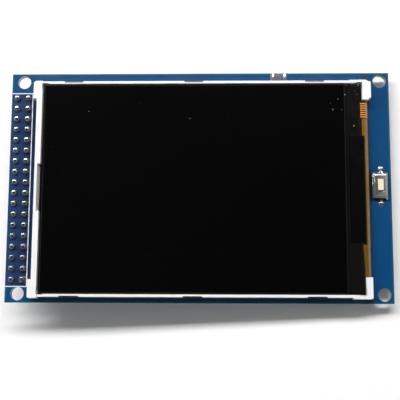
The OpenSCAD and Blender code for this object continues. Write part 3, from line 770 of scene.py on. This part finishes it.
def screen_finish():
    """Black, faintly matt film with fine dust on it."""
    look = settings("tft_screen")
    dust, strength = (0.5, 0.5, 0.5), 0.015
    made = Finish("screen_film", look.film, 0.1, Specular_IOR_Level=0.16)
    mask = use_group(made.tree, "dust", Scale=900.0, Cover=0.035)
    made.patch(product(made.tree, mask, strength), look.film, dust)
    made.handled(45.0, 0.09, 0.12)
    made.grain(9000.0, 0.0003)
    return made.material


def ledge_finish():
    """Dark glass with a paler ground edge round the front glass, partly the edge's own colour and
    partly a painted highlight.
    """
    look = settings("tft_screen")
    made = Finish("ledge_glass", look.ledge, 0.1, Specular_IOR_Level=0.35)
    tree = made.tree
    color = made.drift(700.0, 0.25)
    low, high = box_mm("filter_glass")
    x, y, z = coordinates(tree)
    # Painted highlight, with the edge's own paler colour, along the front glass's ground edge
    near = above(tree, outside(tree, x, y, low, high), -look.edge_width)
    on_front = above(tree, z, (low.z + 0.02) * MM)
    made.patch(product(tree, near, on_front), color, look.ground_edge_glint)
    made.handled(300.0, 0.07, 0.14)
    return made.material


def flex_finish():
    """Amber film: dark where it lies on the glass, with a painted sheen where it turns down."""
    look = settings("tft_flex")
    made = Finish("polyimide", look.film, 0.15, Specular_IOR_Level=0.3)
    tree = made.tree
    x, y = coordinates(tree)[:2]
    low, high = (corner * MM for corner in box_mm("display_flex"))
    strip_low, strip_high = (corner.y * MM for corner in box_mm("driver_tape"))
    strip_low -= look.shade
    blur, rim, held = 0.1 * MM, 0.08 * MM, 2 * MM
    turn_start, turn_end = 0.9 * MM, 0.3 * MM
    sunk_below, sunk_above = 6 * MM, 13 * MM
    # The film stands off the glass below the strip, and lies dark past the glass beside it
    lift = mapped(tree, y, low.y + held, strip_low, 0.0, look.lift)
    lifted = maths(tree, "ADD", x, product(tree, lift, below(tree, y, strip_low)))
    beside = product(tree, above(tree, y, strip_low), below(tree, y, strip_high))
    shaded = maths(tree, "SUBTRACT", lifted, product(tree, beside, look.shade))
    glass_end = box_mm("array_glass")[1].x * MM
    free = eased(tree, shaded, glass_end - blur, glass_end + rim)
    # Painted sheen on the film where it turns down at its end
    turned = eased(tree, x, high.x - turn_start, high.x - turn_end)
    tracks = high.y - look.first - look.pitch * (look.tracks - 0.1)
    striped = eased(tree, y, tracks - blur, tracks + blur)
    middle_y = (low.y + high.y) / 2
    sunk = eased(tree, y, middle_y - sunk_below, middle_y + sunk_above)
    color = blended(tree, sunk, look.low_film, look.film)
    color = blended(tree, striped, color, look.between)
    color = blended(tree, free, look.over_glass, color)
    made.drift(520.0, 0.3, blended(tree, turned, color, look.bend))
    made.handled(500.0, 0.1, 0.18)
    return made.material


def button_finish():
    """Cream plastic, with painted shade below the cover's opening."""
    made = Finish("cream_plastic", (0.82, 0.77, 0.54), 0.4)
    tree = made.tree
    color = made.drift(260.0, 0.04)
    # Painted shade: the plunger is dark below the cover's top, where it sits in the opening's gap
    gap_shade, depth = (0.02, 0.017, 0.014), 0.12
    cover_top = box_mm("switch_cover")[1].z * MM
    unshaded = eased(tree, coordinates(tree)[2], cover_top - depth * MM, cover_top)
    made.patch(unshaded, gap_shade, color)
    made.grain(5000.0, 0.002)
    made.handled(320.0, 0.34, 0.46)
    return made.material


# Colour, lowest and highest roughness, scale and depth of the grain, drift of tone, gloss
PLASTICS = {
    "black_plastic": ((0.018, 0.018, 0.02), 0.42, 0.58, 3000.0, 0.006),
    "foam_tape": ((0.72, 0.72, 0.68), 0.8, 0.95, 2600.0, 0.03),
    "reflector": ((0.82, 0.82, 0.84), 0.3, 0.4, 4000.0, 0.001),
    "black_tape": ((0.002, 0.0018, 0.0019), 0.14, 0.2, 5000.0, 0.001, 0.08, 0.2),
    "led_package": ((0.8, 0.76, 0.5), 0.4, 0.5, 4000.0, 0.002),
    "rear_film": ((0.01, 0.01, 0.011), 0.2, 0.3, 6000.0, 0.001),
    "chip_black": ((0.02, 0.02, 0.024), 0.2, 0.34, 4000.0, 0.004),
    "chip_tan": ((0.36, 0.24, 0.13), 0.4, 0.55, 4000.0, 0.006),
    "epoxy": ((0.02, 0.02, 0.021), 0.48, 0.62, 3600.0, 0.008),
    "tantalum_epoxy": ((0.72, 0.36, 0.03), 0.42, 0.55, 3600.0, 0.006),
    "resistor_glaze": ((0.085, 0.085, 0.13), 0.2, 0.4, 1500.0, 0.02, 0.35),
    "dimple": ((0.012, 0.012, 0.012), 0.2, 0.3, 4000.0, 0.002),
    "band": ((0.2, 0.07, 0.01), 0.4, 0.5, 4000.0, 0.002),
    "speck": ((0.75, 0.75, 0.75), 0.8, 0.9, 6000.0, 0.004),
}

# Colour, lowest and highest roughness, depth of the grain, drift of tone, scale of the patches
METALS = {
    "gold_pin": ((0.83, 0.62, 0.28), 0.2, 0.34),
    "tray_steel": ((0.3, 0.28, 0.25), 0.14, 0.2),
    "tinned_metal": ((0.62, 0.62, 0.61), 0.2, 0.26, 0.002, 0.05, 260.0),
    "bright_tin": ((0.9, 0.92, 0.95), 0.5, 0.6, 0.002, 0.04),
    "pin_tip": ((0.4, 0.42, 0.4), 0.08, 0.14, 0.0005),
    "spring_steel": ((0.6, 0.6, 0.6), 0.2, 0.3),
    "silicon": ((0.12, 0.12, 0.14), 0.12, 0.2),
}

# Colour, the same in the switch's painted shadow at its lower end, lowest and highest roughness,
# scale of the patches, drift of tone, scale and depth of the grain
SWITCH_SHADOWED = {
    "solder": (
        (0.2, 0.235, 0.28), (0.17, 0.17, 0.165), 0.48, 0.62, 900.0, 0.2, 1800.0, 0.004
    ),
    "terminal_tin": (
        (0.62, 0.62, 0.61), (0.32, 0.32, 0.3), 0.2, 0.28, 600.0, 0.1, 2500.0, 0.002
    ),
}


def make_finishes():
    """One finish for each material slot of the record, and a few for added pieces."""
    legend, copper = settings("tft_board").legend, settings("tft_flex").copper
    guide, milky = (0.8, 0.88, 0.9), (0.85, 0.85, 0.85)
    made = {
        "board_enamel": board_finish(),
        "track": track_finish(),
        "legend": plain_finish("legend_ink", legend, 0.6, 1800.0, 0.12),
        "cover_steel": cover_finish(),
        "white_frame": white_frame_finish(),
        "screen_film": screen_finish(),
        "ledge_glass": ledge_finish(),
        "polyimide": flex_finish(),
        "flex_copper": plain_finish(
            "flex_copper", copper, 0.15, 900.0, 0.15, Specular_IOR_Level=0.35
        ),
        "clear_guide": plain_finish("clear_guide", guide, 0.08, 200.0, 0.04, Alpha=0.6),
        "milky_film": plain_finish("milky_film", milky, 0.4, 200.0, 0.04, Alpha=0.8),
        "cream_plastic": button_finish(),
    }
    tables = ((plastic_finish, PLASTICS), (metal_finish, METALS), (switch_shadow_finish, SWITCH_SHADOWED))
    for make, table in tables:
        for name, values in table.items():
            made[name] = make(name, *values)
    return made


# ---- Operators: one for each group of like pieces ----


class TFT_OT_finishes(bpy.types.Operator):
    """Builds the shader groups and finishes and gives each CAD node its own"""

    bl_idname = "tft.finishes"
    bl_label = "Finishes"

    def execute(self, context):
        GROUPS.update(
            tone_drift=make_tone_drift(),
            fine_grain=make_fine_grain(),
            handling=make_handling(),
            dust=make_dust(),
        )
        MATERIALS.update(make_finishes())
        for part in frame["record"]["subparts"]:
            mesh = frame["nodes"][part["node"]].data
            mesh.materials.clear()
            mesh.materials.append(MATERIALS[part["material_slot"]])
        return {"FINISHED"}


class TFT_OT_rounded_parts(bpy.types.Operator):
    """Rounds the sharp edges of the moulded and folded parts"""

    bl_idname = "tft.rounded_parts"
    bl_label = "Rounded parts"

    def execute(self, context):
        softened("display_frame", "white_display_frame", 0.07)
        softened("header_body", "header_insulator", 0.05)
        softened("switch_base", "reset_switch_base", 0.05)
        softened("switch_cover", "reset_switch_cover", 0.04, finish="cover_steel")
        softened("switch_plunger", "reset_button", 0.09, body=PLUNGER_BODY)
        softened("card_socket_shell", "memory_card_shell", 0.04)
        softened("regulator_body", "regulator_package", 0.06)
        softened("buffer_body", "buffer_package", 0.05)
        softened("logic_body", "logic_package", 0.06)
        softened("transistor_body", "transistor_package", 0.04)
        softened("tantalum_bodies", "tantalum_blocks", 0.06)
        softened("driver_tape", "cover_strip", 0.05)
        softened("front_resistor", "resistor_block", 0.04, finish="resistor_glaze")
        softened("front_resistor_caps", "resistor_caps", 0.14, segments=3)
        softened("switch_terminals", "reset_switch_terminals", 0.05, finish="terminal_tin")
        # The snap dome gets a mesh of its own
        dome = softened("switch_dome", "snap_dome", 0.01)
        low, high = box_mm("switch_dome")
        foot = middle("switch_dome")
        foot.z = low.z
        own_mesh(dome)
        return {"FINISHED"}


class TFT_OT_board_print(bpy.types.Operator):
    """Prints the white lines round the header and under the parts"""

    bl_idname = "tft.board_print"
    bl_label = "Board print"

    def execute(self, context):
        look = settings("tft_board")
        width, height = look.legend_width / MM, look.legend_height / MM
        print_header_outline(look, width / 2, height)
        print_back_outlines(width, width * 0.8, height)
        return {"FINISHED"}


def print_header_outline(look, half, height):
    """Three lines on the front: above, below and right of the header."""
    bm = bmesh.new()
    right = box_mm("header_body")[1].x - look.outline_inset / MM
    upper, lower = (BOARD_HIGH.y - y / MM for y in (look.outline_top, look.outline_bottom))
    z = FRONT + height
    for y in (upper, lower):
        add_block(bm, (BOARD_LOW.x, y - half, FRONT), (right + half, y + half, z))
    add_block(bm, (right - half, lower + half, FRONT), (right + half, upper - half, z))
    finish_piece(bm, "header_outline", "board_enamel", "legend")


def print_back_outlines(edge, width, height):
    """Lines round the parts on the back, and a dot at each chip's first pin."""
    z = BACK - height
    margin, dot, rim = 0.35, 0.3, 0.2
    gap = Vector((margin, margin, 0))
    bm = bmesh.new()
    low, high = box_mm("header_body")
    low.y, high.y, high.x = low.y - margin, high.y + margin, high.x + margin
    add_outline(bm, (BOARD_LOW.x + edge, low.y), high, width, z, height)
    margins = {"chip_resistors": 1.7, "chip_capacitors": 1.7, "tantalum_bodies": 1.6}
    for name, around in margins.items():
        for low, high in solids_of(name):
            add_outline(bm, low - gap * around, high + gap * around, width, z, height)
    for name in ("buffer_body", "logic_body"):
        low, high = box_mm(name)
        for y in (low.y - margin, high.y + margin):
            add_bar(bm, (low.x, y), (high.x, y), width, z, height)
        add_disc(bm, low.x - margin * 2, low.y - margin, z, dot, height)
    for name in ("regulator_body", "transistor_body"):
        low, high = box_mm(name)
        for x in (low.x - margin, high.x + margin):
            add_bar(bm, (x, low.y), (x, high.y), width, z, height)
    low, high = box_mm("card_socket_shell")
    add_outline(bm, low - gap, (BOARD_HIGH.x - rim, high.y + margin), width, z, height)
    finish_piece(bm, "back_outlines", "board_enamel", "legend")


class Copper:
    """Tracks and vias that show through the mask on one side of the board."""

    LAP = 0.3  # track that lies on a lead
    GAP = 0.2  # from a chip to its track's end

    def __init__(self, z, height):
        look = settings("tft_board")
        self.bm = bmesh.new()
        self.z, self.height = z, height
        self.width, self.ring = look.track_width / MM, look.via / MM

    def track(self, *points, width=None):
        add_path(self.bm, points, width or self.width, self.z, self.height)

    def via(self, x, y):
        proud = 0.003
        add_disc(self.bm, x, y, self.z - proud, self.ring, self.height + proud)

    def finish(self, name):
        finish_piece(self.bm, name, "board_enamel", "track")


def mid_y(solid):
    return (solid[0].y + solid[1].y) / 2


def header_tracks(copper, leads):
    """From the header's inner column to the buffer's nearer leads."""
    pin_edge, first_turn, spare = 0.5, 1.6, 4
    pins = [(x, y) for x, y, row, column in pin_places() if column == 1 and 1 < row < 16]
    near = leads[spare:-spare]
    step = len(near) / len(pins)
    for i, (x, y) in enumerate(pins):
        lead = near[int(i * step)]
        end = (lead[0].x + copper.LAP, mid_y(lead))
        copper.track(*jog((x + pin_edge, y), end, x + first_turn))


def chip_tracks(copper, leads):
    """From the buffer's farther leads to the row of chips, and on to a via each."""
    lead_out, lead_in, past, stagger = 0.1, 0.4, 2.2, 0.5
    chips = [chip for chip in solids_of("chip_resistors") if chip[0].x < 0]
    step = len(leads) / len(chips)
    for i, chip in enumerate(chips):
        lead = leads[int((i + 0.5) * step)]
        y = mid_y(chip)
        start = (lead[1].x - copper.LAP, mid_y(lead))
        end = (chip[0].x - copper.GAP, y)
        drop = abs(start[1] - y)
        turn = max(start[0] + lead_out, end[0] - drop - lead_in)
        if turn + drop < end[0]:
            copper.track(*jog(start, end, turn))
        beyond = (chip[1].x + past + stagger * (i % 2), y)
        copper.track((chip[1].x + copper.GAP, y), beyond)
        copper.via(*beyond)


def socket_tracks(copper):
    """From the card socket's contacts to a slanting row of vias."""
    count, inset, slant = 8, 0.3, 2.0
    first_turn, turn_step, run, run_step = 2.4, 0.5, 6.0, 0.35
    low, high = box_mm("card_socket_contacts")
    for i in range(count):
        y = low.y + inset + (high.y - low.y - 2 * inset) * i / (count - 1)
        turn = low.x - first_turn - turn_step * i
        end = (turn - run + run_step * i, y - slant)
        copper.track((low.x + copper.GAP, y), (turn, y), (turn - slant, y - slant), end)
        copper.via(*end)


def logic_tracks(copper):
    """From the logic chip's leads to near and far vias in turn."""
    near, farther = 1.2, 0.7
    for i, lead in enumerate(solids_of("logic_leads")):
        side = 1 if lead[0].x > middle("logic_body").x else -1
        x = lead[1].x if side > 0 else lead[0].x
        end = (x + side * (near + farther * (i // 2 % 2)), mid_y(lead))
        copper.track((x - side * copper.LAP, end[1]), end)
        copper.via(*end)


def supply_tracks(copper):
    """Wide tracks between the regulator and its capacitors."""
    width, drop, below_body = 0.7, 1.6, 2.4
    y = middle("regulator_body").y - below_body
    for low, high in solids_of("tantalum_bodies"):
        x = (low.x + high.x) / 2
        start = (x, low.y - drop)
        copper.track(start, (x, y), (box_mm("regulator_leads")[0].x, y), width=width)
        copper.via(*start)


def stitching_vias(copper):
    """Vias of the ground copper along both long edges."""
    count, left, ends, wander = 17, 6.5, 12, 0.8
    chance = random.Random(3)
    inset = settings("tft_board").pour_inset / MM + 0.8
    for i in range(count):
        x = BOARD_LOW.x + left + (BOARD_HIGH.x - BOARD_LOW.x - ends) * i / (count - 1)
        for y in (BOARD_LOW.y + inset, BOARD_HIGH.y - inset):
            copper.via(x + chance.uniform(-wander, wander), y)


def front_tracks(copper):
    """A few tracks along the strip above the display, on both sides of the resistor."""
    low, high = box_mm("front_resistor_solder")
    left, near, farther = -34.0, 0.2, 1.5
    # Start, end and distance from the board's upper edge
    for start, end, inset in (
        (left, low.x - near, 1.25),
        (left, low.x - farther, 1.75),
        (high.x + near, 36.5, 1.25),
        (high.x + farther, 36.0, 1.8),
    ):
        y = BOARD_HIGH.y - inset
        copper.track((start, y), (end, y))


class TFT_OT_board_tracks(bpy.types.Operator):
    """Runs the copper tracks and vias that show through the solder mask"""

    bl_idname = "tft.board_tracks"
    bl_label = "Board tracks"

    def execute(self, context):
        height = settings("tft_board").track_height / MM
        back = Copper(BACK - height, height)
        centre = middle("buffer_body").x
        leads = solids_of("buffer_leads")
        header_tracks(back, [lead for lead in leads if lead[0].x < centre])
        chip_tracks(back, [lead for lead in leads if lead[0].x > centre])
        socket_tracks(back)
        logic_tracks(back)
        supply_tracks(back)
        stitching_vias(back)
        back.finish("back_tracks")
        front = Copper(FRONT, height * 0.6)
        front_tracks(front)
        front.finish("front_tracks")
        return {"FINISHED"}


class TFT_OT_chip_marks(bpy.types.Operator):
    """Marks the chips: a dimple at pin 1, a band on each tantalum capacitor, a pad for aligning"""

    bl_idname = "tft.chip_marks"
    bl_label = "Chip marks"

    def execute(self, context):
        right, up, radius, depth = 0.8, 0.9, 0.35, 0.02
        bm = bmesh.new()
        for name in ("buffer_body", "logic_body"):
            low, high = box_mm(name)
            add_disc(bm, low.x + right, low.y + up, low.z - 0.004, radius, depth, steps=24)
        finish_piece(bm, "pin_one_dimples", "epoxy", "dimple")
        proud, band_low, band_high = 0.005, 0.75, 0.3
        bm = bmesh.new()
        for low, high in solids_of("tantalum_bodies"):
            start = (low.x - proud, high.y - band_low, low.z - proud)
            add_block(bm, start, (high.x + proud, high.y - band_high, high.z - 0.3))
        finish_piece(bm, "tantalum_bands", "tantalum_epoxy", "band")
        bm = bmesh.new()
        radius, height = 0.5, 0.015
        for x, y in (
            (BOARD_LOW.x + 9.0, BOARD_HIGH.y - 3.0),
            (BOARD_HIGH.x - 7.0, BOARD_LOW.y + 3.0),
        ):
            add_disc(bm, x, y, BACK - height, radius, height, steps=32)
        finish_piece(bm, "fiducials", "solder")
        return {"FINISHED"}


def joint_profile(foot, height):
    """Wetted solder: a steep foot that rounds over into a low collar round the pin."""
    rim, sink, steps = 0.05, 0.02, 10
    points = [(0, -sink), (foot, -sink), (foot, rim)]
    for i in range(1, steps + 1):
        turn = math.pi / 2 * i / steps
        radius = foot * (0.5 + 0.48 * math.cos(turn))
        points.append((radius, rim + (height - rim) * math.sin(turn)))
    points.append((0, height))
    return points


class TFT_OT_solder_joints(bpy.types.Operator):
    """Makes the header's solder joints, each a little different"""

    bl_idname = "tft.solder_joints"
    bl_label = "Solder joints"

    def execute(self, context):
        look = settings("tft_header")
        chance = random.Random(11)
        joints, tips = bmesh.new(), bmesh.new()
        tip, slant, pad = look.tip / MM / 2, 0.1, 0.05
        for x, y, row, column in pin_places():
            height = look.height / MM * (1 + chance.uniform(-1, 0.6) * look.unevenness)
            foot = look.foot / MM * (1 + chance.uniform(-1, 1) * look.unevenness / 2)
            lean_x, lean_y = chance.uniform(-slant, slant), chance.uniform(-slant, slant)
            turned = place(x, y, FRONT) @ Matrix.Rotation(chance.uniform(0, math.tau), 4, "Z")
            for vert in lathe(joints, joint_profile(foot, height), 24, turned):
                rise = max(0.0, vert.co.z - FRONT)
                vert.co.x += rise * lean_x
                vert.co.y += rise * lean_y
            if column == 1 and row == 0:
                add_block(joints, (x - foot, y - foot, FRONT), (x + foot, y + foot, FRONT + pad))
            top = FRONT + look.tip_height / MM
            add_block(tips, (x - tip, y - tip, FRONT + height / 2), (x + tip, y + tip, top))
        round_edges(tips, tips.edges, 0.05, 2)
        piece = finish_piece(joints, "solder_joints", "solder", smooth=60)
        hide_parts("header_solder")
        # A stray bead of solder lies at the switch's lower right corner
        bm = bmesh.new()
        low, high = box_mm("switch_cover")
        bead = look.bead / MM
        spot = place(high.x - bead * 0.3, low.y - bead * 0.6, FRONT + bead * 0.8)
        bmesh.ops.create_icosphere(bm, subdivisions=2, radius=bead, matrix=spot)
        finish_piece(bm, "solder_bead", "tinned_metal", "bright_tin", smooth=60)
        finish_piece(tips, "pin_tips", "tinned_metal", "pin_tip", smooth=40)
        return {"FINISHED"}


class TFT_OT_flex_tracks(bpy.types.Operator):
    """Lays the copper tracks that show on the flexible circuit"""

    bl_idname = "tft.flex_tracks"
    bl_label = "Flex tracks"

    def execute(self, context):
        look = settings("tft_flex")
        low, high = box_mm("display_flex")
        width = look.width / MM
        radius, rise, steps = (high.z - low.z) / 2, 0.012, 12
        bend_x = high.x - radius
        start = box_mm("array_glass")[1].x - 0.35
        profile = [(start, high.z + rise), (bend_x, high.z + rise)]
        for step in range(1, steps + 1):
            turn = math.pi / 2 - math.pi * step / steps
            x = bend_x + (radius + rise) * math.cos(turn)
            profile.append((x, (low.z + high.z) / 2 + (radius + rise) * math.sin(turn)))
        bm = bmesh.new()
        for i in range(look.tracks):
            y = high.y - look.first / MM - i * (look.pitch / MM) - width / 2
            line = add_line(bm, [(x, y, z) for x, z in profile])[1]
            made = bmesh.ops.extrude_edge_only(bm, edges=line)
            moved = [v for v in made["geom"] if isinstance(v, bmesh.types.BMVert)]
            bmesh.ops.translate(bm, vec=(0, width, 0), verts=moved)
        bmesh.ops.recalc_face_normals(bm, faces=bm.faces)
        bmesh.ops.solidify(bm, geom=bm.faces, thickness=rise / 2)
        finish_piece(bm, "flex_tracks", "polyimide", "flex_copper")
        return {"FINISHED"}


# Specks on the film, as shares of its width and height, and of the large speck's size
FILM_SPECKS = [
    (0.963, 0.88, 0.8), (0.981, 0.932, 0.6), (0.9937, 0.88, 0.5), (0.955, 0.91, 0.35),
    (0.147, 0.873, 0.6), (0.487, 0.837, 0.55),
]
# Specks on the ledge, and painted glints on the glass's upper edge (those at 1.003 of the height):
# distance from the film's end, share of its height, share of the size
LEDGE_SPECKS_AND_GLINTS = [
    (0.36, 0.957, 1.1), (0.7, 1.003, 1.1), (2.1, 1.003, 0.9), (3.5, 1.003, 0.9),
    (3.2, 0.958, 0.6), (2.3, 0.802, 0.8), (1.4, 0.97, 0.4), (2.8, 0.975, 0.4),
]


class TFT_OT_dust_and_glints(bpy.types.Operator):
    """Scatters specks of dust on the screen and its ledge, and pale specks on the glass's upper
    edge that stand for painted glints
    """

    bl_idname = "tft.dust"
    bl_label = "Dust"

    def execute(self, context):
        look = settings("tft_screen")
        low, high = box_mm("front_polarizer")
        width, height = high.x - low.x, high.y - low.y
        ledge_z = box_mm("array_glass")[1].z
        flat, rise = 0.3, 0.2
        chance = random.Random(5)
        specks = [(low.x + width * x, y, high.z, part) for x, y, part in FILM_SPECKS]
        # Ledge specks: dust, and pale specks on the glass's upper edge that are painted glints
        specks += [(high.x + x, y, ledge_z, part) for x, y, part in LEDGE_SPECKS_AND_GLINTS]
        for _ in range(look.specks):
            x, y = chance.random(), chance.random()
            specks.append((low.x + width * x, y, high.z, chance.uniform(0.1, 0.2)))
        bm = bmesh.new()
        for x, y, z, part in specks:
            radius = look.speck_size / MM * part
            squash = Matrix.Diagonal((radius, radius * chance.uniform(0.5, 1), radius * flat, 1))
            turn = Matrix.Rotation(chance.uniform(0, math.pi), 4, "Z")
            spot = place(x, low.y + height * y, z + radius * rise)
            bmesh.ops.create_icosphere(bm, subdivisions=1, radius=1, matrix=spot @ turn @ squash)
        finish_piece(bm, "screen_dust_and_glints", "led_package", "speck")
        return {"FINISHED"}


class TFT_OT_stage(bpy.types.Operator):
    """Sets the floor and backdrop, the lights and the camera"""

    bl_idname = "tft.stage"
    bl_label = "Stage"

    def execute(self, context):
        make_floor()
        make_lights()
        make_camera()
        return {"FINISHED"}


def floor_slope():
    """Where the part rests: (x, z, angle) of the floor under the pins and the card socket."""
    pins_low, pins_high = box_mm("header_pins")
    socket_low, socket_high = box_mm("card_socket_shell")
    run = socket_high.x - pins_high.x
    rise = socket_low.z - pins_low.z
    return pins_high.x, pins_low.z, math.atan2(rise, run)


def make_floor():
    """A round floor that curves up into a wall, tilted to carry the part."""
    reach, cove, wall, steps, gap = 1100.0, 300.0, 700.0, 8, 0.02
    profile = [(0, 0), (reach, 0)]
    for i in range(1, steps + 1):
        turn = math.pi / 2 * i / steps
        profile.append((reach + cove * math.sin(turn), cove * (1 - math.cos(turn))))
    profile.append((reach + cove, cove + wall))
    bm = bmesh.new()
    spin(bm, profile, 96)
    bmesh.ops.remove_doubles(bm, verts=bm.verts, dist=1e-3)
    bmesh.ops.recalc_face_normals(bm, faces=bm.faces)
    if sum(f.normal.z * f.calc_area() for f in bm.faces) < 0:
        bmesh.ops.reverse_faces(bm, faces=bm.faces)
    x, z, slope = floor_slope()
    matrix = place(x, 0, z - gap) @ Matrix.Rotation(-slope, 4, "Y")
    bmesh.ops.transform(bm, matrix=matrix, verts=bm.verts)
    mesh = as_mesh(bm, "studio_floor", floor_finish(settings("tft_stage").floor))
    mesh.shade_smooth()
    floor = put("studio_floor", mesh)


def floor_finish(color):
    """Matt, and brighter towards the wall where it is seen or mirrored."""
    made = Finish("studio_floor", color, 0.7, Specular_IOR_Level=0.1)
    tree = made.tree
    rays = node(tree, "ShaderNodeLightPath").outputs
    seen = maths(tree, "ADD", rays["Is Camera Ray"], rays["Is Glossy Ray"])
    seen = maths(tree, "ADD", seen, rays["Is Transmission Ray"], clamp=True)
    lift = mapped(tree, coordinates(tree)[2], 0.05, 0.4, 0.0, 0.6)
    made.shader.inputs["Emission Color"].default_value = (1, 1, 1, 1)
    made.feed("Emission Strength", product(tree, seen, lift))
    return made.material


def make_lights():
    """A room that is dim overhead and bright at the horizon, and one long soft lamp."""
    look = settings("tft_stage")
    world = bpy.data.worlds.new("studio")
    world.use_nodes = True
    tree = world.node_tree
    generated = tree.nodes.new("ShaderNodeTexCoord").outputs["Generated"]
    dimmest = (math.sin(look.dim_side), 0, math.cos(look.dim_side))
    values = {0: generated, 1: dimmest}
    up = node(tree, "ShaderNodeVectorMath", values, operation="DOT_PRODUCT").outputs["Value"]
    fade = mapped(tree, up, 0.0, 1.0, look.horizon, look.zenith, clamp=False)
    tree.links.new(fade, tree.nodes["Background"].inputs["Strength"])
    tree.nodes["Background"].inputs["Color"].default_value = (1, 1, 1, 1)
    bpy.context.scene.world = world
    lamp = bpy.data.lights.new("key_light", "AREA")
    lamp.shape = "RECTANGLE"
    lamp.size, lamp.size_y = look.key_length, look.key_depth
    lamp.energy = look.key
    away = Vector((0, math.cos(look.key_height), math.sin(look.key_height)))
    aim = middle("circuit_board") + Vector((look.key_side / MM, 0, 0))
    holder = put("key_light", lamp)
    holder.location = (aim + away * (look.key_away / MM)) * MM
    holder.rotation_euler = (-away).to_track_quat("-Z", "Y").to_euler()


def make_camera():
    look = settings("tft_stage")
    data = bpy.data.cameras.new("camera")
    data.sensor_width = 36.0
    data.lens = look.focal
    data.clip_start, data.clip_end = 0.01, 10.0
    camera = put("camera", data)
    turn = Matrix.Rotation(look.roll, 3, "Z")
    turn = turn @ Matrix.Rotation(look.lean, 3, "Y") @ Matrix.Rotation(look.tilt, 3, "X")
    centre = (BOARD_LOW + BOARD_HIGH) / 2 * MM
    aim = Vector((centre.x + look.aim_x, centre.y + look.aim_y, FRONT * MM))
    camera.location = aim + turn @ Vector((0, 0, look.distance))
    camera.rotation_euler = turn.to_euler()
    bpy.context.scene.camera = camera


OPERATORS = [
    TFT_OT_finishes,
    TFT_OT_rounded_parts,
    TFT_OT_board_print,
    TFT_OT_board_tracks,
    TFT_OT_chip_marks,
    TFT_OT_solder_joints,
    TFT_OT_flex_tracks,
    TFT_OT_dust_and_glints,
    TFT_OT_stage,
]


class TFT_PT_panel(bpy.types.Panel):
    """Lists the steps that build the display module"""

    bl_idname = "TFT_PT_panel"
    bl_label = "TFT display module"
    bl_space_type = "VIEW_3D"
    bl_region_type = "UI"
    bl_category = "Display"

    def draw(self, context):
        for operator in OPERATORS:
            self.layout.operator(operator.bl_idname)
        for group, kind in SETTINGS.items():
            box = self.layout.box()
            for name in kind.__annotations__:
                box.prop(getattr(context.scene, group), name)


def register():
    for name, kind in SETTINGS.items():
        bpy.utils.register_class(kind)
        setattr(bpy.types.Scene, name, bpy.props.PointerProperty(type=kind))
    for kind in OPERATORS + [TFT_PT_panel]:
        bpy.utils.register_class(kind)


def unregister():
    for kind in reversed(OPERATORS + [TFT_PT_panel]):
        bpy.utils.unregister_class(kind)
    for name, kind in SETTINGS.items():
        delattr(bpy.types.Scene, name)
        bpy.utils.unregister_class(kind)


def main():
    register()
    bpy.context.scene.view_settings.view_transform = "Standard"
    for operator in OPERATORS:
        prefix, name = operator.bl_idname.split(".")
        getattr(getattr(bpy.ops, prefix), name)()
    bpy.context.view_layer.update()


if __name__ == "__main__":
    main()
